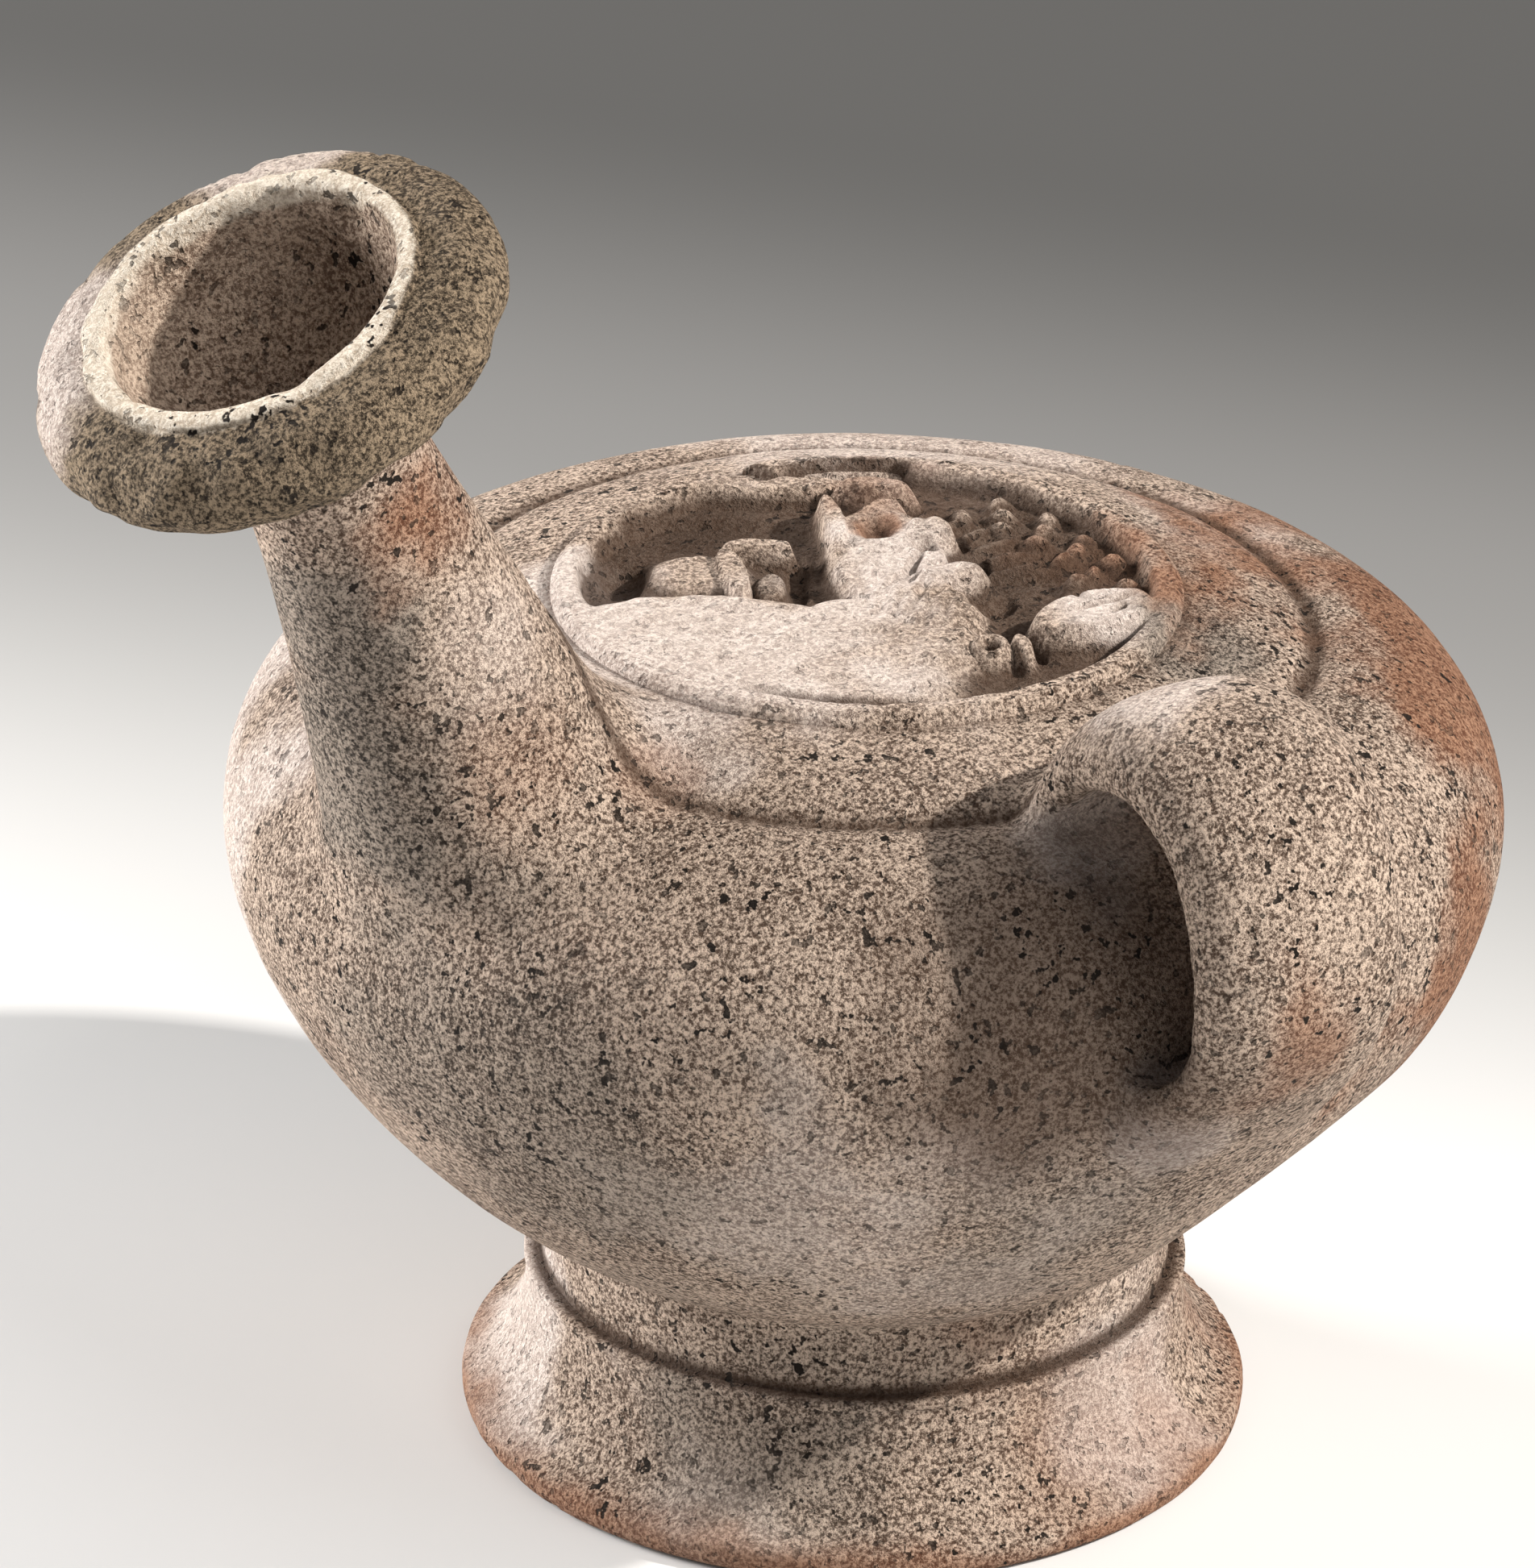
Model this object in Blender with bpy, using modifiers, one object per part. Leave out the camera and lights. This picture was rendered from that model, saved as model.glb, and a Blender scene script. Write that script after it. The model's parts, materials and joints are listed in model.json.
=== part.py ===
"""A guttus: a small closed oil vessel of fired clay, turned and luted together as one piece.

Lengths are in metres and +Z is up. The vessel stands on its foot. Seen from above, the spout points
along -X and the strap handle stands about a quarter turn from it, towards -Y.
"""
import math

import bmesh
import bpy
from mathutils import Vector
from mathutils.bvhtree import BVHTree

# Walls
WALL = 0.0040
ROOT_SINK = 0.0004
ROOT_KEY = 0.0020

# Foot
FOOT_RADIUS = 0.0329
FOOT_EDGE_HEIGHT = 0.0026
FOOT_HEIGHT = 0.0138
LEDGE_RADIUS = 0.0276
LEDGE_THICKNESS = 0.0008
STEM_RADIUS = 0.0262
FOOT_RING_WIDTH = 0.0058
FOOT_HOLLOW_DEPTH = 0.0120
FOOT_HOLLOW_SLOPE = 0.0070

# Body
STEM_TOP = 0.0200
BELLY_RADIUS = 0.0520
BELLY_HEIGHT = 0.0545
SHOULDER_RADIUS = 0.0368
SHOULDER_HEIGHT = 0.0699
GROOVE_WIDTH = 0.0014
GROOVE_DEPTH = 0.0006
COLLAR_STEP = 0.0004
FLOOR_THICKNESS = 0.0045

# Medallion
MEDALLION_RADIUS = 0.0234
RIM_WIDTH = 0.0020
RIM_RISE = 0.0041
RIM_EDGE = 0.0005
COLLAR_SWELL = 0.0004
GROUND_DEPTH = 0.0020
RELIEF_HEIGHT = 0.0028
RELIEF_SEAT = 0.0022
RELIEF_TURN = math.radians(-42.0)

# Spout
SPOUT_INSET = 0.0210
SPOUT_DROP = 0.0105
SPOUT_ROOT_RADIUS = 0.0178
SPOUT_ROOT_LEAN = math.radians(20.0)
SPOUT_FILLET = 0.0070
NECK_RADIUS = 0.0075
BORE_RADIUS = 0.0040
BORE_ROOT_RADIUS = 0.0080
MOUTH_OVERHANG = 0.0080
MOUTH_RISE = 0.0409
MOUTH_LEAN = math.radians(27.5)
MOUTH_RADIUS = 0.0190
LIP_RADIUS = 0.0126
LIP_HEIGHT = 0.0048
LIP_EDGE = 0.0009
COLLAR_DEPTH = 0.0056

# Handle
HANDLE_TURN = math.radians(82.5)
HANDLE_WIDTH = 0.0190
HANDLE_THICKNESS = 0.0060
HANDLE_REACH = 0.0047
HANDLE_RISE = 0.0090
HANDLE_SPRING = 0.0005
HANDLE_SEAT = 0.0022
HANDLE_WAIST = 0.0075
HANDLE_FOOT_INSET = 0.0040
HANDLE_FOOT_DROP = 0.0005
HANDLE_FOOT_SPAN = 0.0155
HANDLE_BEND = 0.0050
HANDLE_EDGE_SHARE = 0.30
HANDLE_HOLLOW_SHARE = 0.10
HANDLE_ROOT_SPREAD = 0.30
HANDLE_FILLET = 0.0022

# Smoothness of the faceted solid
TURNED_STEPS = 48
CAVITY_STEPS = 36
SPOUT_SIDES = 28
BORE_SIDES = 20
RELIEF_CELLS = 38

# Worn relief on the medallion. Places and half sizes are shares of its radius, turns are in degrees and
# heights are shares of the relief's height: name, across, up, half length, half width, turn, height
RAISED_FORMS = (
    ("drapery", -0.31, -0.50, 0.70, 0.44, -8, 0.74),
    ("torso", 0.07, 0.22, 0.27, 0.62, 4, 0.88),
    ("head", 0.00, 0.72, 0.20, 0.16, 0, 1.00),
    ("shoulder", 0.19, 0.31, 0.16, 0.20, 0, 1.05),
    ("forearm", 0.26, -0.08, 0.27, 0.15, 35, 0.98),
    ("knee", -0.62, 0.17, 0.27, 0.21, 0, 0.56),
    ("post", -0.47, 0.06, 0.08, 0.24, 15, 0.80),
    ("block", -0.33, 0.04, 0.10, 0.19, 0, 0.62),
    ("far_border", -0.38, 0.80, 0.46, 0.10, 3, 0.60),
    ("leaf", 0.76, -0.24, 0.28, 0.16, 33, 0.88),
    ("knob", 0.50, -0.52, 0.11, 0.11, 0, 0.70),
)
HOLLOW_FORMS = (
    ("behind_the_knee", -0.53, 0.48, 0.44, 0.18, 0, 0.22),
    ("left_pit", -0.84, 0.12, 0.11, 0.17, 0, 0.24),
    ("between_arm_and_leaf", 0.48, 0.00, 0.18, 0.28, -15, 0.26),
    ("dark_hole", 0.39, 0.27, 0.07, 0.07, 0, 0.60),
    ("pit_by_the_knob", 0.40, -0.50, 0.08, 0.08, 0, 0.34),
)
CURL_COUNT = 6
RAY_COUNT = 4
FORM_EDGE = 0.60

# Shares along the spout's line and across its taper
SPOUT_NECK_AT = 0.80
SPOUT_TAPER = 1.3
BORE_START = 0.12

# Shares along the strap, where its roots are looked for and where it starts to widen
STRAP_UPPER_END = 0.4
STRAP_LOWER_END = 0.6
STRAP_WIDENS_AT = 0.62

# Shape of the strap's crown across its width
CROWN_FLATNESS = 2.6
CROWN_FALL = 0.6

# How many rings follow the spout, its channel and the strap between their ends
SPOUT_RINGS = 6
BORE_RINGS = 7
STRAP_RINGS = 14

# Shares of the funnel's width and of the lip's height, up the open cup of the mouth
CUP_PROFILE = ((0.05, -2.1), (0.28, -1.5), (0.60, -0.85), (0.85, -0.1), (0.96, 0.6))


def clear_scene():
    """Empties the scene."""
    for thing in list(bpy.data.objects):
        bpy.data.objects.remove(thing, do_unlink=True)


def make_collection(name):
    """A collection of that name in the scene."""
    collection = bpy.data.collections.new(name)
    bpy.context.scene.collection.children.link(collection)
    return collection


def add_object(name, mesh, collection):
    """An object for the mesh, in the collection."""
    thing = bpy.data.objects.new(name, mesh)
    collection.objects.link(thing)
    return thing


def hide_cutter(thing):
    """Shows a cutter as wires and keeps it out of renders."""
    thing.hide_render = True
    thing.display_type = "WIRE"
    return thing


def curve(start, start_pull, end_pull, end, t):
    """A point at share t of a cubic curve between two ends."""
    s = 1 - t
    return (s ** 3 * Vector(start) + 3 * s * s * t * Vector(start_pull)
            + 3 * s * t * t * Vector(end_pull) + t ** 3 * Vector(end))


def sampled(start, start_pull, end_pull, end, steps):
    """Points along a cubic curve, without its first point."""
    return [curve(start, start_pull, end_pull, end, k / steps) for k in range(1, steps + 1)]


def smooth_step(low, high, value):
    """Rises smoothly from 0 at low to 1 at high."""
    share = min(max((value - low) / (high - low), 0.0), 1.0)
    return share * share * (3 - 2 * share)


# Heights that several parts share
COLLAR_HEIGHT = SHOULDER_HEIGHT + COLLAR_STEP
RIM_HEIGHT = SHOULDER_HEIGHT + RIM_RISE
GROUND_HEIGHT = RIM_HEIGHT - GROUND_DEPTH
SEAT_HEIGHT = GROUND_HEIGHT - RELIEF_SEAT
RIM_RADIUS = MEDALLION_RADIUS + RIM_WIDTH
GROOVE_RADIUS = SHOULDER_RADIUS - GROOVE_WIDTH
BASE_RADIUS = FOOT_RADIUS - LEDGE_THICKNESS
RING_RADIUS = BASE_RADIUS - FOOT_RING_WIDTH
HOLLOW_RADIUS = RING_RADIUS - FOOT_HOLLOW_SLOPE
CAVITY_FLOOR = max(FOOT_HOLLOW_DEPTH + FLOOR_THICKNESS, STEM_TOP - WALL / 2)


def medallion_outline():
    """From the axis out over the medallion's seat and rim."""
    return [
        (0, SEAT_HEIGHT),
        (MEDALLION_RADIUS, SEAT_HEIGHT),
        (MEDALLION_RADIUS, RIM_HEIGHT - RIM_EDGE),
        (MEDALLION_RADIUS + RIM_EDGE, RIM_HEIGHT),
        (RIM_RADIUS - RIM_EDGE, RIM_HEIGHT),
        (RIM_RADIUS, RIM_HEIGHT - RIM_EDGE),
    ]


def body_outline():
    """From the rim down the collar, groove, shoulder and belly to the stem."""
    collar_top = Vector((RIM_RADIUS + RIM_EDGE, RIM_HEIGHT - 2 * RIM_EDGE))
    collar_foot = Vector((GROOVE_RADIUS - COLLAR_STEP, COLLAR_HEIGHT))
    swell = collar_top.lerp(collar_foot, 0.5) + Vector((0, COLLAR_SWELL))
    shoulder = Vector((SHOULDER_RADIUS, SHOULDER_HEIGHT))
    belly = Vector((BELLY_RADIUS, BELLY_HEIGHT))
    stem = Vector((STEM_RADIUS, STEM_TOP))
    drop = SHOULDER_HEIGHT - BELLY_HEIGHT
    rise = BELLY_HEIGHT - STEM_TOP
    spread = BELLY_RADIUS - STEM_RADIUS
    points = [collar_top, swell, collar_foot]
    points += [Vector((GROOVE_RADIUS, SHOULDER_HEIGHT - GROOVE_DEPTH)), shoulder]
    points += sampled(shoulder, shoulder + Vector((0.64 * (BELLY_RADIUS - SHOULDER_RADIUS), -0.05 * drop)),
                      belly + Vector((0, 0.46 * drop)), belly, 7)
    points += sampled(belly, belly - Vector((0, 0.34 * rise)),
                      stem + Vector((0.50 * spread, 0.19 * rise)), stem, 9)
    return [tuple(point) for point in points]


def foot_outline():
    """From the stem over the ledge, down the flared foot and up into the hollow under it."""
    flare_top = Vector((LEDGE_RADIUS, FOOT_HEIGHT - LEDGE_THICKNESS))
    flare_end = Vector((FOOT_RADIUS - LEDGE_THICKNESS / 2, FOOT_EDGE_HEIGHT))
    reach = flare_end.x - flare_top.x
    points = [Vector((STEM_RADIUS, FOOT_HEIGHT)), Vector((LEDGE_RADIUS, FOOT_HEIGHT)), flare_top]
    points += sampled(flare_top, flare_top - Vector((0, 0.50 * flare_top.y)),
                      flare_end + Vector((-0.60 * reach, 0.12 * flare_top.y)), flare_end, 4)
    points += [Vector((FOOT_RADIUS, FOOT_EDGE_HEIGHT / 2)), Vector((BASE_RADIUS, 0)), Vector((RING_RADIUS, 0))]
    points += [Vector((HOLLOW_RADIUS + 0.3 * FOOT_HOLLOW_SLOPE, 0.72 * FOOT_HOLLOW_DEPTH))]
    points += [Vector((HOLLOW_RADIUS - 0.3 * FOOT_HOLLOW_SLOPE, FOOT_HOLLOW_DEPTH)), Vector((0, FOOT_HOLLOW_DEPTH))]
    return [tuple(point) for point in points]


def cavity_outline():
    """The inside of the vessel, from the axis under the medallion to the axis over the foot."""
    roof = SEAT_HEIGHT - WALL
    shoulder = Vector((MEDALLION_RADIUS + 0.4 * (SHOULDER_RADIUS - MEDALLION_RADIUS), roof))
    belly = Vector((BELLY_RADIUS - WALL, BELLY_HEIGHT))
    stem = Vector((STEM_RADIUS - WALL, CAVITY_FLOOR + 0.5 * WALL))
    drop = roof - BELLY_HEIGHT
    rise = belly.y - stem.y
    spread = belly.x - stem.x
    points = [Vector((0, roof)), shoulder]
    points += sampled(shoulder, shoulder + Vector((0.55 * (belly.x - shoulder.x), 0)),
                      belly + Vector((0, 0.46 * drop)), belly, 6)
    points += sampled(belly, belly - Vector((0, 0.34 * rise)),
                      stem + Vector((0.47 * spread, 0.22 * rise)), stem, 7)
    points += [Vector((0.7 * stem.x, CAVITY_FLOOR)), Vector((0, CAVITY_FLOOR))]
    return [tuple(point) for point in points]


def turned(name, outline, steps, collection):
    """A solid turned about Z from an outline in the XZ plane."""
    mesh = bpy.data.meshes.new(name)
    points = [(radius, 0, height) for radius, height in outline]
    edges = [(k, k + 1) for k in range(len(points) - 1)]
    mesh.from_pydata(points, edges, [])
    thing = add_object(name, mesh, collection)
    screw = thing.modifiers.new("turn", "SCREW")
    screw.axis = "Z"
    screw.steps = steps
    screw.render_steps = steps
    screw.use_merge_vertices = True
    screw.merge_threshold = 0.00001
    screw.use_normal_calculate = False
    return thing


def loft(name, rings, start, end, collection):
    """A closed solid through rings of equal count, each end closed to a point inside it."""
    shape = bmesh.new()
    loops = [[shape.verts.new(point) for point in ring] for ring in rings]
    count = len(loops[0])
    for lower, upper in zip(loops, loops[1:]):
        for k in range(count):
            shape.faces.new((lower[k], lower[(k + 1) % count], upper[(k + 1) % count], upper[k]))
    for loop, centre in ((loops[0], start), (loops[-1], end)):
        tip = shape.verts.new(centre)
        for k in range(count):
            shape.faces.new((loop[k], loop[(k + 1) % count], tip))
    bmesh.ops.recalc_face_normals(shape, faces=shape.faces)
    mesh = bpy.data.meshes.new(name)
    shape.to_mesh(mesh)
    shape.free()
    return hide_cutter(add_object(name, mesh, collection))


class Skin:
    """The body's outer surface, for the roots of the spout and the handle."""

    def __init__(self, body):
        bpy.context.view_layer.update()
        self.tree = BVHTree.FromObject(body, bpy.context.evaluated_depsgraph_get())

    def nearest(self, point):
        """The closest place on the surface and its outward normal."""
        place, normal, _, _ = self.tree.find_nearest(point)
        return place, normal

    def height(self, point):
        """How far a point stands out of the surface, less than 0 inside it."""
        place, normal = self.nearest(point)
        return (point - place).dot(normal)

    def crossing(self, line, inner, outer):
        """The share at which a line of points leaves the body."""
        for _ in range(24):
            middle = (inner + outer) / 2
            if self.height(line(middle)) < 0:
                inner = middle
            else:
                outer = middle
        return outer

    def root(self, line, centre, crossing, outward, fillet):
        """Points of a concave fillet from inside the wall up to the line, and the share it ends at."""
        corner = line(crossing)
        nudge = 0.001 * outward
        pace = (line(crossing + nudge) - corner).length / abs(nudge)
        end_share = crossing + outward * fillet / pace
        place, normal = self.nearest(corner)
        away = corner - centre(crossing)
        away -= away.dot(normal) * normal
        place, normal = self.nearest(corner + away.normalized() * fillet)
        toe = place - normal * ROOT_SINK
        end = line(end_share)
        points = [place - normal * ROOT_KEY, toe]
        for share in (0.3, 0.55, 0.8, 1.0):
            points.append((1 - share) ** 2 * toe + 2 * share * (1 - share) * corner + share ** 2 * end)
        return points, end_share


def spout_plane(across, height):
    """A point in the upright plane of the spout."""
    return Vector((-across, 0, height))


SPOUT_ROOT = (BELLY_RADIUS - SPOUT_INSET, BELLY_HEIGHT - SPOUT_DROP)
MOUTH_CENTRE = (BELLY_RADIUS + MOUTH_OVERHANG, SHOULDER_HEIGHT + MOUTH_RISE)
SPOUT_LENGTH = math.dist(SPOUT_ROOT, MOUTH_CENTRE)


def spout_centre(t):
    """The spout's centre line, from inside the body to the mouth."""
    start = Vector(SPOUT_ROOT)
    end = Vector(MOUTH_CENTRE)
    start_pull = start + 0.34 * SPOUT_LENGTH * Vector((math.sin(SPOUT_ROOT_LEAN), math.cos(SPOUT_ROOT_LEAN)))
    end_pull = end - 0.27 * SPOUT_LENGTH * Vector((math.sin(MOUTH_LEAN), math.cos(MOUTH_LEAN)))
    return spout_plane(*curve(start, start_pull, end_pull, end, t))


def spout_frame(t):
    """Two directions across the spout at share t."""
    along = (spout_centre(t + 0.001) - spout_centre(t - 0.001)).normalized()
    side = Vector((0, 1, 0))
    return along.cross(side), side


def spout_radius(t):
    """The spout's outer radius, flared towards its root."""
    share = max(1 - t / SPOUT_NECK_AT, 0.0)
    return NECK_RADIUS + (SPOUT_ROOT_RADIUS - NECK_RADIUS) * share ** SPOUT_TAPER


def circle_point(centre, frame, radius, angle):
    """A point on a circle across a line."""
    return centre + radius * (math.cos(angle) * frame[0] + math.sin(angle) * frame[1])


def mouth_ring(radius, height, sides):
    """A circle about the mouth's leaning axis, height above its widest place."""
    axis = spout_plane(math.sin(MOUTH_LEAN), math.cos(MOUTH_LEAN))
    side = Vector((0, 1, 0))
    frame = (axis.cross(side), side)
    centre = spout_plane(*MOUTH_CENTRE) + axis * height
    return [circle_point(centre, frame, radius, 2 * math.pi * k / sides) for k in range(sides)]


def collar_profile():
    """Radius and height of the mouth's overhanging collar, from the neck up to the lip."""
    slope = MOUTH_RADIUS - LIP_RADIUS
    overhang = MOUTH_RADIUS - NECK_RADIUS
    return [
        (NECK_RADIUS + 0.08 * overhang, -1.45 * COLLAR_DEPTH),
        (NECK_RADIUS + 0.22 * overhang, -1.05 * COLLAR_DEPTH),
        (NECK_RADIUS + 0.60 * overhang, -0.80 * COLLAR_DEPTH),
        (NECK_RADIUS + 0.90 * overhang, -0.45 * COLLAR_DEPTH),
        (MOUTH_RADIUS, -0.05 * COLLAR_DEPTH),
        (LIP_RADIUS + 0.90 * slope, 0.38 * LIP_HEIGHT),
        (LIP_RADIUS + 0.62 * slope, 0.70 * LIP_HEIGHT),
        (LIP_RADIUS + 0.28 * slope, 0.92 * LIP_HEIGHT),
        (LIP_RADIUS + LIP_EDGE, LIP_HEIGHT),
        (LIP_RADIUS - LIP_EDGE, LIP_HEIGHT),
    ]


def build_spout(skin, cutters):
    """The spout with its collar, solid, its root spread over the body's shoulder."""
    roots = []
    for k in range(SPOUT_SIDES):
        angle = 2 * math.pi * k / SPOUT_SIDES

        def line(t, angle=angle):
            return circle_point(spout_centre(t), spout_frame(t), spout_radius(t), angle)

        crossing = skin.crossing(line, 0.0, SPOUT_NECK_AT)
        points, share = skin.root(line, spout_centre, crossing, 1, SPOUT_FILLET)
        reach = SPOUT_NECK_AT - share
        points += [line(share + reach * step / SPOUT_RINGS) for step in range(1, SPOUT_RINGS + 1)]
        roots.append(points)
    rings = [list(ring) for ring in zip(*roots)]
    rings += [mouth_ring(radius, height, SPOUT_SIDES) for radius, height in collar_profile()]
    crown = sum(rings[-1], Vector()) / SPOUT_SIDES
    return loft("spout_form", rings, spout_centre(0.02), crown, cutters)


def build_bore(cutters):
    """The channel through the spout, from the vessel's hollow to the open cup of the mouth."""
    rings = []
    for step in range(BORE_RINGS + 1):
        share = step / BORE_RINGS
        t = BORE_START + (SPOUT_NECK_AT - BORE_START) * share
        radius = BORE_ROOT_RADIUS + (BORE_RADIUS - BORE_ROOT_RADIUS) * share
        frame = spout_frame(t)
        rings.append([circle_point(spout_centre(t), frame, radius, 2 * math.pi * k / BORE_SIDES)
                      for k in range(BORE_SIDES)])
    funnel = LIP_RADIUS - LIP_EDGE - BORE_RADIUS
    for share, height in CUP_PROFILE:
        rings.append(mouth_ring(BORE_RADIUS + share * funnel, height * LIP_HEIGHT, BORE_SIDES))
    rings.append(mouth_ring(LIP_RADIUS + 0.4 * LIP_EDGE, LIP_HEIGHT + LIP_EDGE, BORE_SIDES))
    rings.append(mouth_ring(LIP_RADIUS + 0.4 * LIP_EDGE, LIP_HEIGHT + WALL, BORE_SIDES))
    bottom = sum(rings[0], Vector()) / BORE_SIDES
    top = sum(rings[-1], Vector()) / BORE_SIDES
    return loft("bore", rings, bottom, top, cutters)


def handle_line(inner, t):
    """Across and up on the strap's inner face or on the crown of its outer face, at share t."""
    lift = 0 if inner else HANDLE_THICKNESS
    spring = (SHOULDER_RADIUS + HANDLE_SPRING - 0.9 * lift, SHOULDER_HEIGHT - HANDLE_SEAT)
    top = SHOULDER_HEIGHT + HANDLE_RISE + 1.6 * lift
    outermost = (BELLY_RADIUS + HANDLE_REACH + lift, BELLY_HEIGHT + HANDLE_WAIST + 0.3 * lift)
    span = 0 if inner else HANDLE_FOOT_SPAN
    foot = (BELLY_RADIUS - HANDLE_FOOT_INSET - 0.15 * span, BELLY_HEIGHT - HANDLE_FOOT_DROP - span)
    if t <= 0.5:
        return curve(spring, (spring[0] + 0.7 * HANDLE_BEND, top), (outermost[0], top), outermost, 2 * t)
    return curve(outermost, (outermost[0], outermost[1] - HANDLE_BEND - 0.2 * span),
                 (foot[0] + 1.6 * HANDLE_BEND - 0.1 * span, foot[1] + 0.5 * span), foot, 2 * t - 1)


def handle_frame():
    """The handle's outward and sideways directions."""
    out = Vector((-math.cos(HANDLE_TURN), -math.sin(HANDLE_TURN), 0))
    return out, Vector((0, 0, 1)).cross(out)


def strap_section():
    """Sideways share of half the width, and share of the thickness, round one section."""
    section = []
    for side in (-1.0, -0.96, -0.86, -0.70, -0.48, -0.24, 0, 0.24, 0.48, 0.70, 0.86, 0.96, 1.0):
        crown = (1 - abs(side) ** CROWN_FLATNESS) ** CROWN_FALL
        section.append((side, HANDLE_EDGE_SHARE + (1 - HANDLE_EDGE_SHARE) * crown))
    for side in (0.94, 0.5, 0, -0.5, -0.94):
        section.append((side, HANDLE_HOLLOW_SHARE * math.cos(math.pi / 2 * side)))
    return section


def build_handle(skin, cutters):
    """The strap handle, both of its roots spread over the body."""
    out, sideways = handle_frame()

    def place(across, height, side):
        return out * across + Vector((0, 0, height)) + sideways * side

    def half_width(t):
        spread = smooth_step(STRAP_WIDENS_AT, 1.0, t)
        return HANDLE_WIDTH / 2 * (1 + HANDLE_ROOT_SPREAD * spread)

    def strap_point(t, side, share):
        across, height = handle_line(True, t).lerp(handle_line(False, t), share)
        return place(across, height, side * half_width(t))

    def centre(t):
        return strap_point(t, 0, 0.5)

    columns = []
    for side, share in strap_section():

        def line(t, side=side, share=share):
            return strap_point(t, side, share)

        upper = skin.crossing(line, 0.0, STRAP_UPPER_END)
        lower = skin.crossing(line, 1.0, STRAP_LOWER_END)
        first, start = skin.root(line, centre, upper, 1, HANDLE_FILLET)
        last, end = skin.root(line, centre, lower, -1, HANDLE_FILLET)
        middle = [line(start + (end - start) * step / STRAP_RINGS) for step in range(1, STRAP_RINGS)]
        columns.append(first + middle + last[::-1])
    rings = [list(ring) for ring in zip(*columns)]
    start = sum(rings[0], Vector()) / len(rings[0])
    end = sum(rings[-1], Vector()) / len(rings[-1])
    return loft("strap_form", rings, start, end, cutters)


def form_share(across, up, form):
    """1 on a form's flat top, falling to 0 at its outline."""
    _, centre_across, centre_up, length, width, turn, height = form
    angle = math.radians(turn)
    x = (across - centre_across) * math.cos(angle) + (up - centre_up) * math.sin(angle)
    y = (up - centre_up) * math.cos(angle) - (across - centre_across) * math.sin(angle)
    reach = math.hypot(x / length, y / width)
    return height * (1 - smooth_step(1 - FORM_EDGE, 1.0, reach))


def ring_of_forms():
    """The curls at one side and the worn rays between them and the figure."""
    forms = []
    for k in range(CURL_COUNT):
        angle = math.radians(12 + 46 * k / (CURL_COUNT - 1))
        forms.append(("curl", 0.85 * math.cos(angle), 0.85 * math.sin(angle), 0.11, 0.09, 30 * k, 0.72))
    for k in range(RAY_COUNT):
        angle = math.radians(18 + 62 * k / (RAY_COUNT - 1))
        forms.append(("ray", 0.62 * math.cos(angle), 0.08 + 0.60 * math.sin(angle), 0.18, 0.06,
                      math.degrees(angle), 0.45))
    return forms


def relief_height(across, up):
    """Height of the worn relief over the medallion's ground, as a share of the relief's height."""
    raised = 0.0
    for form in RAISED_FORMS + tuple(ring_of_forms()):
        raised = max(raised, form_share(across, up, form))
    for form in HOLLOW_FORMS:
        raised -= form_share(across, up, form)
    return raised


def build_relief(cutters):
    """The medallion's worn relief, a block with a carved top, trimmed round to fit inside the rim."""
    shape = bmesh.new()
    reach = MEDALLION_RADIUS + RIM_EDGE
    bmesh.ops.create_grid(shape, x_segments=RELIEF_CELLS, y_segments=RELIEF_CELLS, size=reach)
    for vert in shape.verts:
        share = relief_height(vert.co.x / MEDALLION_RADIUS, vert.co.y / MEDALLION_RADIUS)
        vert.co.z = GROUND_HEIGHT + share * RELIEF_HEIGHT
    walls = bmesh.ops.extrude_face_region(shape, geom=shape.faces[:])
    for piece in walls["geom"]:
        if isinstance(piece, bmesh.types.BMVert):
            piece.co.z = SEAT_HEIGHT - WALL / 4
    bmesh.ops.recalc_face_normals(shape, faces=shape.faces)
    base = [face for face in shape.faces if face.normal.z < -0.9]
    bmesh.ops.dissolve_faces(shape, faces=base)
    mesh = bpy.data.meshes.new("relief_form")
    shape.to_mesh(mesh)
    shape.free()
    relief = hide_cutter(add_object("relief_form", mesh, cutters))
    relief.rotation_euler.z = RELIEF_TURN
    radius = MEDALLION_RADIUS + RIM_EDGE / 2
    top = RIM_HEIGHT + RELIEF_HEIGHT
    bottom = SEAT_HEIGHT - WALL / 2
    trim = turned("relief_trim", [(0, top), (radius, top), (radius, bottom), (0, bottom)], TURNED_STEPS, cutters)
    combine(relief, hide_cutter(trim), "INTERSECT")
    return relief


def combine(target, tool, operation):
    """A live Boolean of the target with the tool."""
    modifier = target.modifiers.new(tool.name, "BOOLEAN")
    modifier.operation = operation
    modifier.solver = "EXACT"
    modifier.object = tool


def fired_clay():
    """Gritty brown-pink fired clay, dull all over."""
    material = bpy.data.materials.new("fired_clay")
    material.use_nodes = True
    shader = material.node_tree.nodes["Principled BSDF"]
    shader.inputs["Base Color"].default_value = (0.40, 0.30, 0.24, 1)
    shader.inputs["Roughness"].default_value = 0.9
    shader.inputs["Metallic"].default_value = 0.0
    return material


def stand_at_origin(vessel):
    """Puts the middle of the vessel's plan over the origin."""
    bpy.context.view_layer.update()
    evaluated = vessel.evaluated_get(bpy.context.evaluated_depsgraph_get())
    corners = [Vector(corner) for corner in evaluated.bound_box]
    middle = (max(c.x for c in corners) + min(c.x for c in corners)) / 2
    depth = (max(c.y for c in corners) + min(c.y for c in corners)) / 2
    vessel.location = (-middle, -depth, 0)


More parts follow.
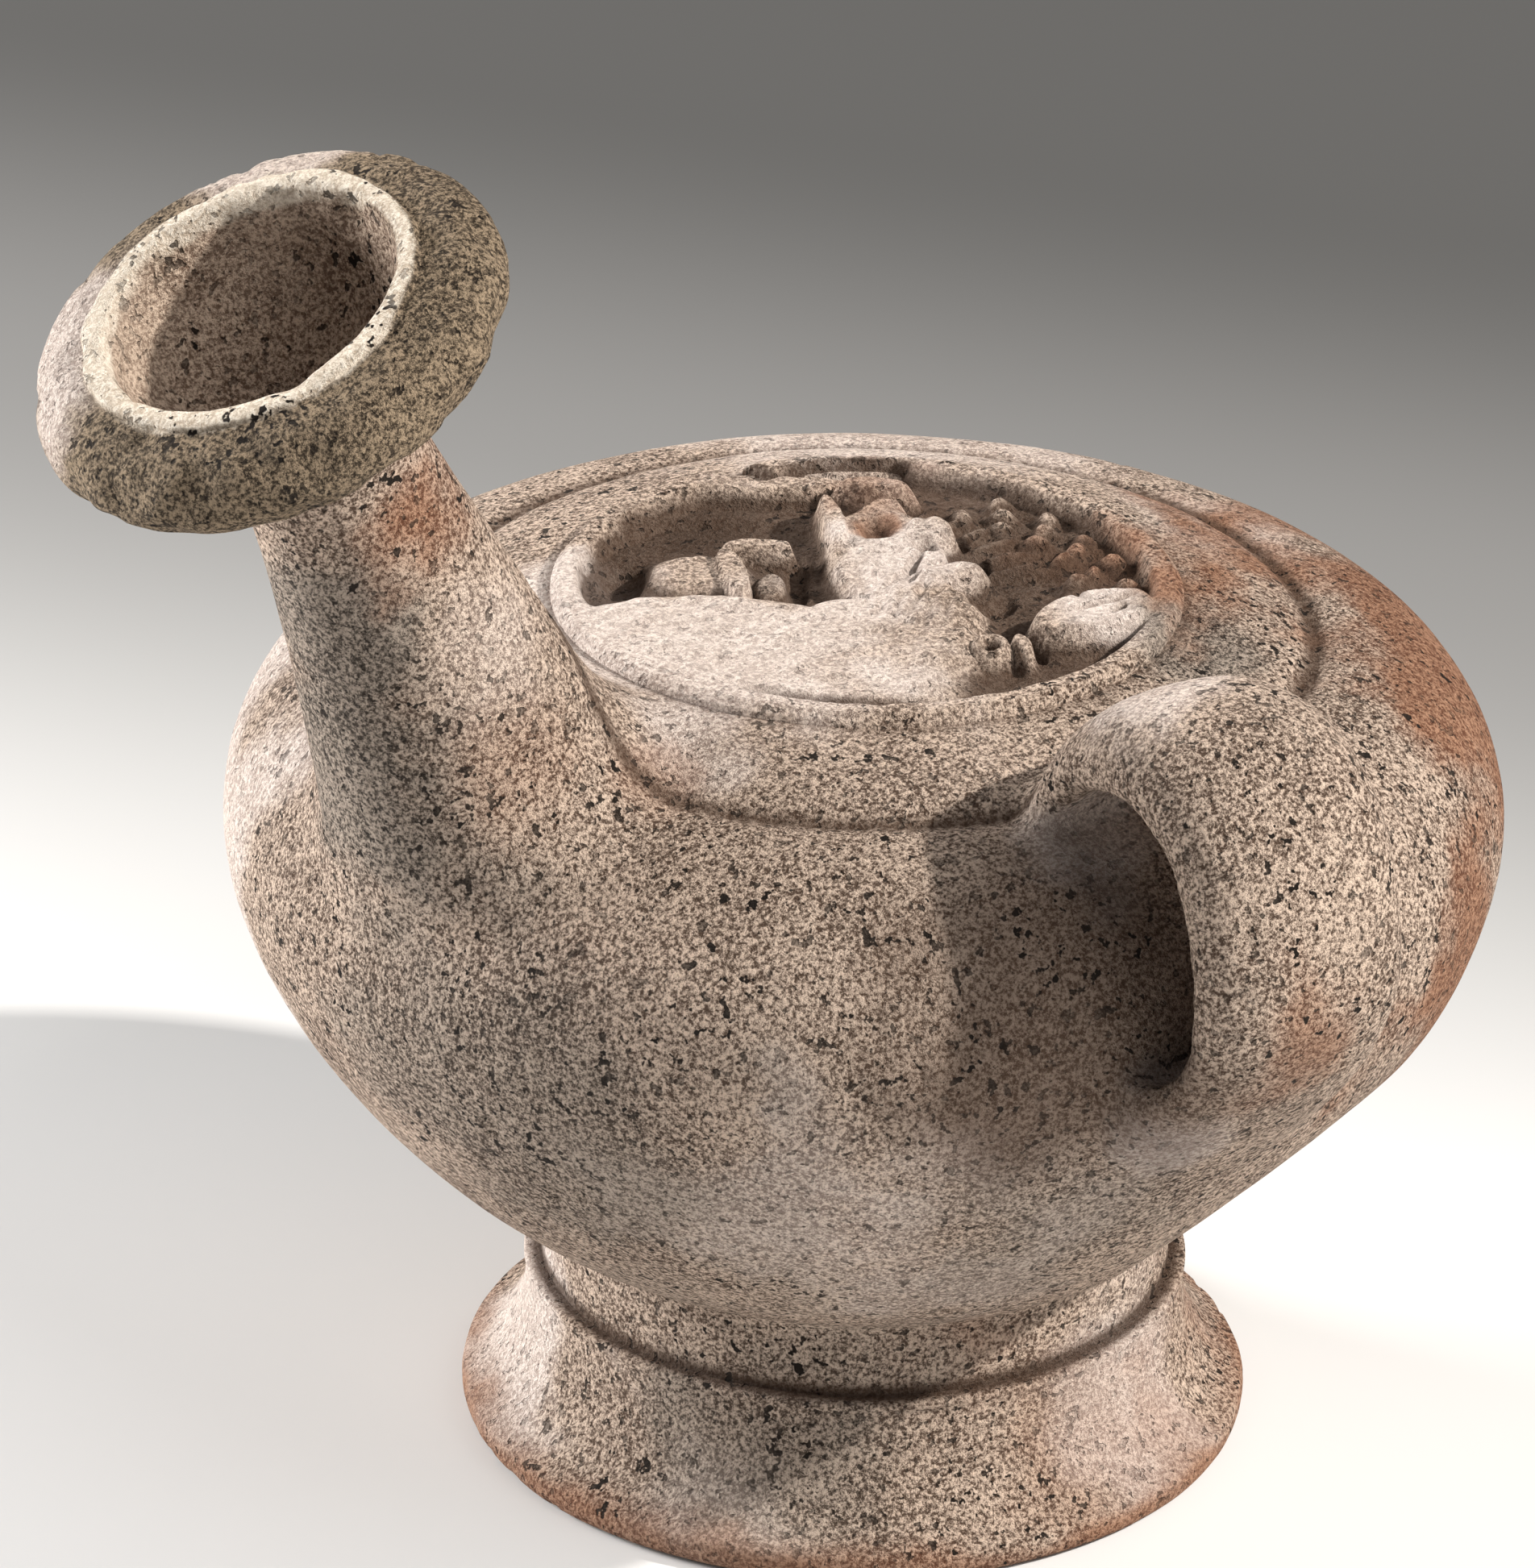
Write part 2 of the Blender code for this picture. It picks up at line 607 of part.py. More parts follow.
def move_with(vessel, cutters):
    """Parents the cutters to the vessel, so that they keep their places on it."""
    for tool in cutters.objects:
        tool.parent = vessel


def build_guttus():
    """The whole vessel."""
    clear_scene()
    parts = make_collection("guttus_parts")
    cutters = make_collection("cutters")
    vessel = turned("guttus", medallion_outline() + body_outline() + foot_outline(), TURNED_STEPS, parts)
    skin = Skin(vessel)
    combine(vessel, build_relief(cutters), "UNION")
    combine(vessel, build_spout(skin, cutters), "UNION")
    combine(vessel, build_handle(skin, cutters), "UNION")
    cavity = hide_cutter(turned("cavity", cavity_outline(), CAVITY_STEPS, cutters))
    combine(vessel, cavity, "DIFFERENCE")
    combine(vessel, build_bore(cutters), "DIFFERENCE")
    vessel.data.materials.append(fired_clay())
    move_with(vessel, cutters)
    stand_at_origin(vessel)


build_guttus()
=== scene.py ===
# %% [markdown]
# # A guttus: a small oil vessel of fired clay
#
# The real vessel is one fired pot: a body and foot turned on a wheel, a thrown spout and a pulled strap
# handle luted on with wet clay, and a moulded medallion pressed into the top. Each of those is modelled
# the way it was made, and a fine skin then joins them as the wet clay did.
#
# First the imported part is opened. It fixes the sizes and the place of everything that follows.

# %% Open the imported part
import json
import math

import bmesh
import bpy
import numpy as np
from mathutils import Matrix, Vector, noise
from mathutils.bvhtree import BVHTree

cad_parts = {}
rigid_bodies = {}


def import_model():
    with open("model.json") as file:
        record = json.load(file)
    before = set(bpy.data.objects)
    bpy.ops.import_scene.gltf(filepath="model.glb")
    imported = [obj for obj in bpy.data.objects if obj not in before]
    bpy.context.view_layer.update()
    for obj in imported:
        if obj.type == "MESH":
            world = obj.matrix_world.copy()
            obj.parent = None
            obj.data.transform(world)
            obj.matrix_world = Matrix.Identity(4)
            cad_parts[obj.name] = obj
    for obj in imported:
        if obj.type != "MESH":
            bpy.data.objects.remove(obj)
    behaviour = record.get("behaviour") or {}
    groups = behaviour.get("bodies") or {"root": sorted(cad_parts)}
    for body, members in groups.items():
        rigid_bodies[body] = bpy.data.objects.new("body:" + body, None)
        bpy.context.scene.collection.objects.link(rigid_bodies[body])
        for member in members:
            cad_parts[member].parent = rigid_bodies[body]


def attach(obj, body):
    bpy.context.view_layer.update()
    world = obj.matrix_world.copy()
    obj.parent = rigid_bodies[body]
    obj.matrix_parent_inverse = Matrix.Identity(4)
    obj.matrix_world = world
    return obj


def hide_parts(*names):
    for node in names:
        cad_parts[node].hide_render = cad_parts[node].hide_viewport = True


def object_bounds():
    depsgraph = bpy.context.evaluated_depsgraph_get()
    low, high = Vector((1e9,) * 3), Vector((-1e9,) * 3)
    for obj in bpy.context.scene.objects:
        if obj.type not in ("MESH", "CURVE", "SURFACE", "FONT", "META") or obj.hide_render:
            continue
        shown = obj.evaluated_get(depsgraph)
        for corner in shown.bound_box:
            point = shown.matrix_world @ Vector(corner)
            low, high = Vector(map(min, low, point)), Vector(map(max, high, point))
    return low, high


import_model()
cad_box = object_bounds()
print("box of the packed part", cad_box)

# %% [markdown]
# ## Sizes
#
# Lengths are in metres. A potter thinks in radii and heights about the wheel's axis, so the profiles
# below do as well. The vessel's axis isn't at the origin, because the spout and handle shift the middle
# of its plan, so everything is made about the axis and moved into place at the end.

# %% Sizes
WALL = 0.0040
STEM_RADIUS = 0.0262
STEM_TOP = 0.0200
BELLY_RADIUS = 0.0520
BELLY_HEIGHT = 0.0545
SHOULDER_RADIUS = 0.0368
SHOULDER_HEIGHT = 0.0699
GROOVE_WIDTH = 0.0014
GROOVE_DEPTH = 0.0009
STEM_END = 0.0120
MEDALLION_RADIUS = 0.0234
RIM_RADIUS = 0.0254
RIM_HEIGHT = SHOULDER_HEIGHT + 0.0041
GROUND_HEIGHT = RIM_HEIGHT - 0.0020
SEAT_HEIGHT = GROUND_HEIGHT - 0.0032
VESSEL_AXIS = Vector((cad_box[1][0] - BELLY_RADIUS, cad_box[1][1] - BELLY_RADIUS, 0))
VIEW_TURN = math.radians(42)
RIGHT = Vector((math.cos(VIEW_TURN), -math.sin(VIEW_TURN), 0))
AWAY = Vector((math.sin(VIEW_TURN), math.cos(VIEW_TURN), 0))
UP = Vector((0, 0, 1))
print("vessel axis at", tuple(round(value, 4) for value in VESSEL_AXIS))


# %% [markdown]
# ## Curves and turned shapes
#
# A profile is a chain of points. Long sweeps between its corners are cubic curves with two pulls, like
# the handles of a Bezier curve. Spinning the chain once round the axis makes the turned shape, which is
# what the wheel does.

# %% Curves and turned shapes
def curve(start, start_pull, end_pull, end, t):
    """A point at share t of a cubic curve."""
    s = 1 - t
    return (s ** 3 * Vector(start) + 3 * s * s * t * Vector(start_pull)
            + 3 * s * t * t * Vector(end_pull) + t ** 3 * Vector(end))


def sweep(start, start_pull, end_pull, end, steps):
    """Points along a cubic curve, without the first."""
    return [curve(start, start_pull, end_pull, end, k / steps) for k in range(1, steps + 1)]


def densified(points, gap):
    """The same chain with no gap between points longer than gap."""
    dense = [Vector(points[0])]
    for point in points[1:]:
        start = dense[-1]
        steps = max(1, math.ceil((Vector(point) - start).length / gap))
        dense += [start.lerp(Vector(point), k / steps) for k in range(1, steps + 1)]
    return dense


def turned(outline, steps, closed=False):
    """A bmesh spun about Z from a chain of (radius, height) points."""
    shape = bmesh.new()
    chain = [shape.verts.new((point[0], 0, point[1])) for point in outline]
    edges = [shape.edges.new(pair) for pair in zip(chain, chain[1:])]
    if closed:
        edges.append(shape.edges.new((chain[-1], chain[0])))
    bmesh.ops.spin(shape, geom=chain + edges, cent=(0, 0, 0), axis=(0, 0, 1), dvec=(0, 0, 0),
                   angle=2 * math.pi, steps=steps, use_merge=True, use_duplicate=False)
    bmesh.ops.remove_doubles(shape, verts=shape.verts[:], dist=0.000001)
    bmesh.ops.recalc_face_normals(shape, faces=shape.faces[:])
    return shape


def smooth_share(low, high, value):
    """Rises smoothly from 0 at low to 1 at high, for one number or an array of them."""
    share = np.clip((value - low) / (high - low), 0.0, 1.0)
    return share * share * (3 - 2 * share)


# %% [markdown]
# ## The thrown body
#
# The body is a wide, low belly with a flattened shoulder. A narrow groove parts the shoulder from the
# gentle collar that climbs to the medallion. Below, the belly runs into a short stem that stands in the
# foot. The underside of the medallion is left as a shallow seat, because the medallion is its own piece.

# %% The thrown body
def body_outline():
    """From the medallion's seat down to the end of the stem inside the foot."""
    rim_foot = Vector((RIM_RADIUS, RIM_HEIGHT - 0.0010))
    groove_outer = Vector((SHOULDER_RADIUS, SHOULDER_HEIGHT))
    groove_inner = groove_outer + Vector((-GROOVE_WIDTH - 0.0004, 0.0004))
    belly = Vector((BELLY_RADIUS, BELLY_HEIGHT))
    stem = Vector((STEM_RADIUS, STEM_TOP))
    drop = SHOULDER_HEIGHT - BELLY_HEIGHT
    rise = BELLY_HEIGHT - STEM_TOP
    points = [Vector((0, SEAT_HEIGHT)), Vector((MEDALLION_RADIUS - 0.0012, SEAT_HEIGHT))]
    points += [Vector((MEDALLION_RADIUS, RIM_HEIGHT - 0.0010)), rim_foot]
    points += sweep(rim_foot, rim_foot.lerp(groove_inner, 0.4) + Vector((0, 0.0003)),
                    rim_foot.lerp(groove_inner, 0.75) + Vector((0, 0.0006)), groove_inner, 8)
    points += [groove_outer + Vector((-GROOVE_WIDTH * share, -GROOVE_DEPTH)) for share in (0.75, 0.35)]
    points += [groove_outer]
    points += sweep(groove_outer,
                    groove_outer + Vector((0.64 * (BELLY_RADIUS - SHOULDER_RADIUS), -0.05 * drop)),
                    belly + Vector((0, 0.46 * drop)), belly, 24)
    points += sweep(belly, belly - Vector((0, 0.34 * rise)),
                    stem + Vector((0.50 * (BELLY_RADIUS - STEM_RADIUS), 0.19 * rise)), stem, 30)
    return points + [Vector((STEM_RADIUS, STEM_END)), Vector((0, STEM_END))]


body_shape = turned(body_outline(), steps=128)
print("body:", len(body_shape.verts), "points")

# %% [markdown]
# ## Luted roots
#
# Where a spout or handle is luted on, the potter smears the clay into a soft fillet. Each line that runs
# along the spout or strap is followed to the place where it leaves the body. From there a fillet curve
# runs down onto the body, and the ring of all these curves is the smeared root.

# %% Luted roots
class BodySkin:
    """The body's outer surface, for roots that spread over it."""

    def __init__(self, shape):
        self.tree = BVHTree.FromBMesh(shape)

    def crossing(self, line, inner, outer):
        """The share at which a line leaves the body."""
        for _ in range(24):
            middle = (inner + outer) / 2
            place, normal, _, _ = self.tree.find_nearest(line(middle))
            if (line(middle) - place).dot(normal) < 0:
                inner = middle
            else:
                outer = middle
        return outer

    def root(self, line, centre, share, outward, fillet):
        """Points of a fillet from inside the body's wall up to the line, and where it ends."""
        corner = line(share)
        pace = (line(share + 0.001 * outward) - corner).length / 0.001
        end_share = share + outward * fillet / pace
        place, normal, _, _ = self.tree.find_nearest(corner)
        away = corner - centre(share)
        away -= away.dot(normal) * normal
        place, normal, _, _ = self.tree.find_nearest(corner + away.normalized() * fillet)
        toe = place - normal * 0.0003
        end = line(end_share)
        points = [place - normal * 0.0020, toe]
        for t in (0.2, 0.4, 0.6, 0.8, 1.0):
            points.append((1 - t) ** 2 * toe + 2 * t * (1 - t) * corner + t * t * end)
        return points, end_share


def lofted(rings):
    """A closed bmesh through rings of equal count: circles are placed, then bridged in pairs."""
    shape = bmesh.new()
    loops = []
    for number, places in enumerate(rings):
        capped = number in (0, len(rings) - 1)
        ring = bmesh.ops.create_circle(shape, cap_ends=capped, segments=len(places), radius=0.01)["verts"]
        for vert, place in zip(ring, places):
            vert.co = place
        loops.append(list({edge for vert in ring for edge in vert.link_edges}))
    for lower, upper in zip(loops, loops[1:]):
        bmesh.ops.bridge_loops(shape, edges=lower + upper)
    bmesh.ops.recalc_face_normals(shape, faces=shape.faces[:])
    return shape


skin = BodySkin(body_shape)
print("skin ready")

# %% [markdown]
# ## The spout
#
# The spout was thrown as a tube and bent while damp. It leans outwards, narrows to a neck and carries a
# thick overhanging collar. Its centre line lies in one upright plane, and circles along it give the form.

# %% The spout
SPOUT_ROOT = (0.0310, 0.0440)
MOUTH_CENTRE = (BELLY_RADIUS + 0.0080, SHOULDER_HEIGHT + 0.0409)
ROOT_LEAN = math.radians(20)
MOUTH_LEAN = math.radians(27.5)
MOUTH_RADIUS = 0.0190
LIP_RADIUS = 0.0126
LIP_HEIGHT = 0.0048
NECK_RADIUS = 0.0075
NECK_AT = 0.80
SIDE = Vector((0, 1, 0))
MOUTH_PLACE = Vector((-MOUTH_CENTRE[0], 0, MOUTH_CENTRE[1]))
MOUTH_AXIS = Vector((-math.sin(MOUTH_LEAN), 0, math.cos(MOUTH_LEAN)))


def spout_centre(t):
    """The spout's centre line, from inside the body to the mouth."""
    length = math.dist(SPOUT_ROOT, MOUTH_CENTRE)
    start = Vector(SPOUT_ROOT)
    end = Vector(MOUTH_CENTRE)
    start_pull = start + 0.34 * length * Vector((math.sin(ROOT_LEAN), math.cos(ROOT_LEAN)))
    end_pull = end - 0.27 * length * Vector((math.sin(MOUTH_LEAN), math.cos(MOUTH_LEAN)))
    across, height = curve(start, start_pull, end_pull, end, t)
    return Vector((-across, 0, height))


def circle_about(centre, axis, radius, sides):
    """A circle of points about an axis that lies in the spout's plane."""
    first = axis.cross(SIDE)
    turns = [2 * math.pi * k / sides for k in range(sides)]
    return [centre + radius * (math.cos(turn) * first + math.sin(turn) * SIDE) for turn in turns]


def spout_circle(t, radius, sides):
    """A circle of points across the spout at share t."""
    along = (spout_centre(t + 0.001) - spout_centre(t - 0.001)).normalized()
    return circle_about(spout_centre(t), along, radius, sides)


def mouth_circle(radius, height, sides):
    """A circle of points about the mouth's leaning axis."""
    return circle_about(MOUTH_PLACE + MOUTH_AXIS * height, MOUTH_AXIS, radius, sides)


def spout_radius(t):
    """The outer radius, flared towards the root."""
    return NECK_RADIUS + 0.0103 * max(1 - t / NECK_AT, 0.0) ** 1.3


def spout_rings(sides=72):
    """Rings from the smeared root to the top of the collar."""
    columns = []
    for k in range(sides):
        def line(t, k=k):
            return spout_circle(t, spout_radius(t), sides)[k]

        share = skin.crossing(line, 0.0, NECK_AT)
        points, start = skin.root(line, spout_centre, share, 1, 0.0070)
        points += [line(start + (NECK_AT - start) * step / 12) for step in range(1, 13)]
        columns.append(points)
    rings = [list(ring) for ring in zip(*columns)]
    overhang = MOUTH_RADIUS - NECK_RADIUS
    slope = MOUTH_RADIUS - LIP_RADIUS
    collar = ((NECK_RADIUS + 0.02 * overhang, -0.0100), (NECK_RADIUS + 0.08 * overhang, -0.0078),
              (NECK_RADIUS + 0.20 * overhang, -0.0061), (NECK_RADIUS + 0.42 * overhang, -0.0051),
              (NECK_RADIUS + 0.66 * overhang, -0.0043), (NECK_RADIUS + 0.88 * overhang, -0.0029),
              (NECK_RADIUS + 0.98 * overhang, -0.0013), (MOUTH_RADIUS, 0.0),
              (LIP_RADIUS + 0.93 * slope, 0.0015), (LIP_RADIUS + 0.76 * slope, 0.0028),
              (LIP_RADIUS + 0.52 * slope, 0.0037), (LIP_RADIUS + 0.28 * slope, 0.0041),
              (LIP_RADIUS, 0.0042), (LIP_RADIUS - 0.0020, 0.0042))
    return rings + [mouth_circle(radius, height, sides) for radius, height in collar]


spout_shape = lofted(spout_rings())
print("spout:", len(spout_shape.verts), "points")

# %% [markdown]
# ## The strap handle
#
# The handle is a pulled strap: a wide, flattish ribbon with a crowned outer face and thin lips. It
# springs from the shoulder, arches high enough for a fingertip and is pressed onto the belly below.

# %% The strap handle
HANDLE_TURN = math.radians(82.5)
HANDLE_OUT = Vector((-math.cos(HANDLE_TURN), -math.sin(HANDLE_TURN), 0))
HANDLE_THICKNESS = 0.0060
HANDLE_HALF_WIDTH = 0.0095
HANDLE_RISE = 0.0090
HANDLE_REACH = 0.0047
HANDLE_WAIST = 0.0075
HANDLE_FOOT_INSET = 0.0040
HANDLE_FOOT_DROP = 0.0005
HANDLE_FOOT_SPAN = 0.0155
HANDLE_FILLET = 0.0022


def handle_line(inner, t):
    """Across and up on the strap's inner face or on the crown of its outer face."""
    lift = 0 if inner else HANDLE_THICKNESS
    span = 0 if inner else HANDLE_FOOT_SPAN
    spring = (SHOULDER_RADIUS + 0.0005 - 0.9 * lift, SHOULDER_HEIGHT - 0.0022)
    top = SHOULDER_HEIGHT + HANDLE_RISE + 1.6 * lift
    outermost = (BELLY_RADIUS + HANDLE_REACH + lift, BELLY_HEIGHT + HANDLE_WAIST + 0.3 * lift)
    foot = (BELLY_RADIUS - HANDLE_FOOT_INSET - 0.15 * span, BELLY_HEIGHT - HANDLE_FOOT_DROP - span)
    if t <= 0.5:
        return curve(spring, (spring[0] + 0.0035, top), (outermost[0], top), outermost, 2 * t)
    return curve(outermost, (outermost[0], outermost[1] - 0.0050 - 0.2 * span),
                 (foot[0] + 0.0080 - 0.1 * span, foot[1] + 0.5 * span), foot, 2 * t - 1)


def strap_section():
    """Sideways share and share of the thickness round the strap's section."""
    section = []
    for k in range(29):
        side = math.sin(math.pi / 2 * (k / 14 - 1))
        section.append((side, 0.30 + 0.70 * (1 - abs(side) ** 2.6) ** 0.6))
    for k in range(1, 12):
        side = math.cos(math.pi * k / 12)
        section.append((side * 0.97, 0.10 * math.cos(math.pi / 2 * side)))
    return section


def handle_rings():
    """Rings along the strap, with both roots smeared onto the body."""
    sideways = UP.cross(HANDLE_OUT)

    def strap_point(t, side, share):
        across, height = handle_line(True, t).lerp(handle_line(False, t), share)
        half_width = HANDLE_HALF_WIDTH * (1 + 0.30 * smooth_share(0.62, 1.0, t))
        return HANDLE_OUT * across + UP * height + sideways * side * half_width

    def centre(t):
        return strap_point(t, 0, 0.5)

    columns = []
    for side, share in strap_section():
        def line(t, side=side, share=share):
            return strap_point(t, side, share)

        first, start = skin.root(line, centre, skin.crossing(line, 0.0, 0.4), 1, HANDLE_FILLET)
        last, end = skin.root(line, centre, skin.crossing(line, 1.0, 0.6), -1, HANDLE_FILLET)
        middle = [line(start + (end - start) * step / 28) for step in range(1, 28)]
        columns.append(first + middle + last[::-1])
    return [list(ring) for ring in zip(*columns)]


handle_shape = lofted(handle_rings())
print("handle:", len(handle_shape.verts), "points")


# %% [markdown]
# ## One skin of clay
#
# Body, spout and strap are three closed shapes that overlap. A voxel remesh keeps only the outside of all
# of them together, as one even net of small faces. A few rounds of smoothing then take the hardness out
# of the joints, as a wet finger does, and the net is fine enough for dents.

# %% One skin of clay
def object_from(name, shape):
    """An object in the scene that carries the bmesh."""
    mesh = bpy.data.meshes.new(name)
    shape.to_mesh(mesh)
    shape.free()
    thing = bpy.data.objects.new(name, mesh)
    bpy.context.scene.collection.objects.link(thing)
    return thing


def settled(thing):
    """The bmesh that an object and its modifiers make. The object itself is removed."""
    bpy.context.view_layer.update()
    graph = bpy.context.evaluated_depsgraph_get()
    mesh = bpy.data.meshes.new_from_object(thing.evaluated_get(graph))
    shape = bmesh.new()
    shape.from_mesh(mesh)
    bpy.data.objects.remove(thing, do_unlink=True)
    bpy.data.meshes.remove(mesh)
    return shape


def joined(shapes):
    """One bmesh that holds all the shapes."""
    together = bmesh.new()
    for shape in shapes:
        mesh = bpy.data.meshes.new("part")
        shape.to_mesh(mesh)
        together.from_mesh(mesh)
        bpy.data.meshes.remove(mesh)
        shape.free()
    return together


NET_SIZE = 0.00073
LOWER_ROOT = HANDLE_OUT * 0.0500 + UP * 0.0400
LOWER_ROOT_REACH = 0.0120

clay = object_from("clay", joined([body_shape, spout_shape, handle_shape]))
remesh = clay.modifiers.new("net", "REMESH")
remesh.mode = "VOXEL"
remesh.voxel_size = NET_SIZE
pot_shape = settled(clay)


def wet_finger(shape, verts, rounds):
    """Smooths some of a shape's points."""
    for _ in range(rounds):
        bmesh.ops.smooth_vert(shape, verts=verts, factor=0.5,
                              use_axis_x=True, use_axis_y=True, use_axis_z=True)


wet_finger(pot_shape, pot_shape.verts[:], 2)
wet_finger(pot_shape, [vert for vert in pot_shape.verts
                       if (vert.co - LOWER_ROOT).length < LOWER_ROOT_REACH], 30)
print("pot:", len(pot_shape.faces), "faces")

# %% [markdown]
# ## Uneven clay
#
# Hand-made, fired and buried clay is never even. Slow swells come from the potter's fingers, small dents
# and lost grains from wear, and the mouth's collar has crumbled a little. The flank under the handle is
# flatter, where the potter pressed the strap on. All of them push the surface inwards along its normals,
# so nothing grows past the vessel's size.

# %% Uneven clay
SWELL = 0.00016
RIPPLE = 0.00010
DENT = 0.00030
CRUMBLE = 0.00045
FLANK = RIGHT * 0.034 - AWAY * 0.021 + UP * 0.029
FLANK_REACH = 0.019
FLANK_DEPTH = 0.0019


def noise_at(places, scale, shift=0):
    """Smooth noise, about -1 to 1, at each place."""
    return np.array([noise.noise(place * scale + Vector((shift, shift, shift))) for place in places])


def from_mouth(places):
    """Each place's height along the mouth's axis, and its distance from that axis."""
    heights = np.array([(place - MOUTH_PLACE).dot(MOUTH_AXIS) for place in places])
    distances = np.array([(place - MOUTH_PLACE).cross(MOUTH_AXIS).length for place in places])
    return heights, distances


def wear_depth(places):
    """How far the surface lies below its ideal form at each place, in metres."""
    swell = SWELL * (0.5 + 0.5 * noise_at(places, 75))
    ripple = RIPPLE * (0.5 + 0.5 * noise_at(places, 260, 3))
    dented = smooth_share(-0.15, 0.45, noise_at(places, 45, 9))
    from_grain = np.array([noise.voronoi(place * 420)[0][0] for place in places])
    dent = DENT * dented * (1 - smooth_share(0.10, 0.42, from_grain))
    above, _ = from_mouth(places)
    crumbly = smooth_share(-0.009, -0.003, above) * smooth_share(-0.2, 0.5, noise_at(places, 330, 7))
    return swell + ripple + dent + CRUMBLE * crumbly


def wear(shape, factor=1.0):
    """Pushes every point in by the wear at its place."""
    shape.normal_update()
    verts = shape.verts[:]
    depths = wear_depth([vert.co for vert in verts])
    moves = [vert.normal * (factor * depth) for vert, depth in zip(verts, depths)]
    for vert, move in zip(verts, moves):
        vert.co -= move


def press(shape, middle, reach, depth):
    """Pushes the surface in round a place, as a thumb does."""
    shape.normal_update()
    moves = [(vert, vert.normal * (depth * (1 - smooth_share(0.0, reach, (vert.co - middle).length))))
             for vert in shape.verts if (vert.co - middle).length < reach]
    for vert, move in moves:
        vert.co -= move


press(pot_shape, FLANK, FLANK_REACH, FLANK_DEPTH)
wear(pot_shape)
print("pot worn")

# %% [markdown]
# ## The hollow inside
#
# The vessel is hollow and empty. One cutter is the inside of the body, turned like its outside, and one
# is the bore of the spout, which opens into the cup of the mouth. A Boolean takes both out of the pot.

# %% The hollow inside
ROOF_HEIGHT = GROUND_HEIGHT - 0.0062
ROOF_RADIUS = 0.0288
INNER_FLOOR = 0.0180
BORE_RADIUS = 0.0040
BORE_FLARE = 0.0080
BORE_START = 0.12
BORE_SHARE = 0.68
CUP = ((0.0044, -0.0101), (0.0062, -0.0072), (0.0086, -0.0041), (0.0105, -0.0005), (0.0115, 0.0029))


def cavity_outline():
    """The inside of the body, from under the medallion to over the foot."""
    shoulder = Vector((ROOF_RADIUS, ROOF_HEIGHT))
    belly = Vector((BELLY_RADIUS - WALL, BELLY_HEIGHT))
    stem = Vector((STEM_RADIUS - WALL, STEM_TOP))
    drop = ROOF_HEIGHT - BELLY_HEIGHT
    rise = belly.y - stem.y
    points = [Vector((0, ROOF_HEIGHT)), shoulder]
    points += sweep(shoulder, shoulder + Vector((0.55 * (belly.x - shoulder.x), 0)),
                    belly + Vector((0, 0.46 * drop)), belly, 8)
    points += sweep(belly, belly - Vector((0, 0.34 * rise)),
                    stem + Vector((0.47 * (belly.x - stem.x), 0.22 * rise)), stem, 10)
    return points + [Vector((0.7 * stem.x, INNER_FLOOR)), Vector((0, INNER_FLOOR))]


def bore_rings(sides=40):
    """Rings of the bore from the cavity to above the lip, a little wider than the cup's lining."""
    widening = BORE_RADIUS + 0.0004 - BORE_FLARE
    rings = []
    for k in range(13):
        rings.append(spout_circle(BORE_START + BORE_SHARE * k / 12, BORE_FLARE + widening * k / 12, sides))
    rings += [mouth_circle(radius + 0.0006, height, sides) for radius, height in CUP]
    rings += [mouth_circle(LIP_RADIUS - 0.0002, LIP_HEIGHT + 0.0040, sides)]
    return rings


def carve(shape, tools):
    """The bmesh with the tools' shapes cut out of it."""
    thing = object_from("carved", shape)
    cutters = []
    for number, tool in enumerate(tools):
        cutter = object_from("tool", tool)
        cut = thing.modifiers.new("cut", "BOOLEAN")
        cut.operation = "DIFFERENCE"
        cut.solver = "EXACT"
        cut.object = cutter
        cutters.append(cutter)
    carved = settled(thing)
    for cutter in cutters:
        bpy.data.objects.remove(cutter, do_unlink=True)
    return carved


pot_shape = carve(pot_shape, [turned(cavity_outline(), steps=64), lofted(bore_rings())])
print("hollow pot:", len(pot_shape.faces), "faces")

# %% [markdown]
# ## The lip and cup
#
# The mouth's collar ends in a narrow rounded lip round a bowl-like cup, which funnels down into the bore.
# The lip is crisp, so it is its own turned ring: up the outside, over the lip, down the cup and back
# through the clay. It is spun upright and then leaned over with the spout.

# %% The lip and cup
LINING_END = -0.0125


def by_lip(outwards, upwards):
    """A point of the section that is measured from the lip."""
    return Vector((LIP_RADIUS + outwards, LIP_HEIGHT + upwards))


def cup_outline():
    """A closed chain round the section of the lip and the cup's lining."""
    lip = [by_lip(0.0013, -0.0016), by_lip(0.0011, -0.0006)]
    lip += sweep(lip[-1], lip[-1] + Vector((-0.0001, 0.0006)),
                 by_lip(-0.0009, 0.0001), by_lip(-0.0011, -0.0008), 10)
    wall = [Vector(point) for point in reversed(CUP)]
    inside = []
    for start, leaving, arriving, end, steps in (
            (lip[-1], (-0.0002, -0.0012), (0.0003, 0.0012), wall[1], 14),
            (wall[1], (-0.0006, -0.0024), (0.0020, 0.0016), wall[3], 14),
            (wall[3], (-0.0012, -0.0009), (0.0002, 0.0012), wall[4], 8)):
        inside += sweep(start, start + Vector(leaving), end + Vector(arriving), end, steps)
    inside += [Vector((BORE_RADIUS - 0.0001, LINING_END)), Vector((BORE_RADIUS + 0.0011, LINING_END))]
    back = [Vector((0.0070, -0.0086)), Vector((0.0098, -0.0050)), Vector((0.0119, -0.0005)),
            Vector((LIP_RADIUS + 0.0004, 0.0020))]
    return lip + inside + back


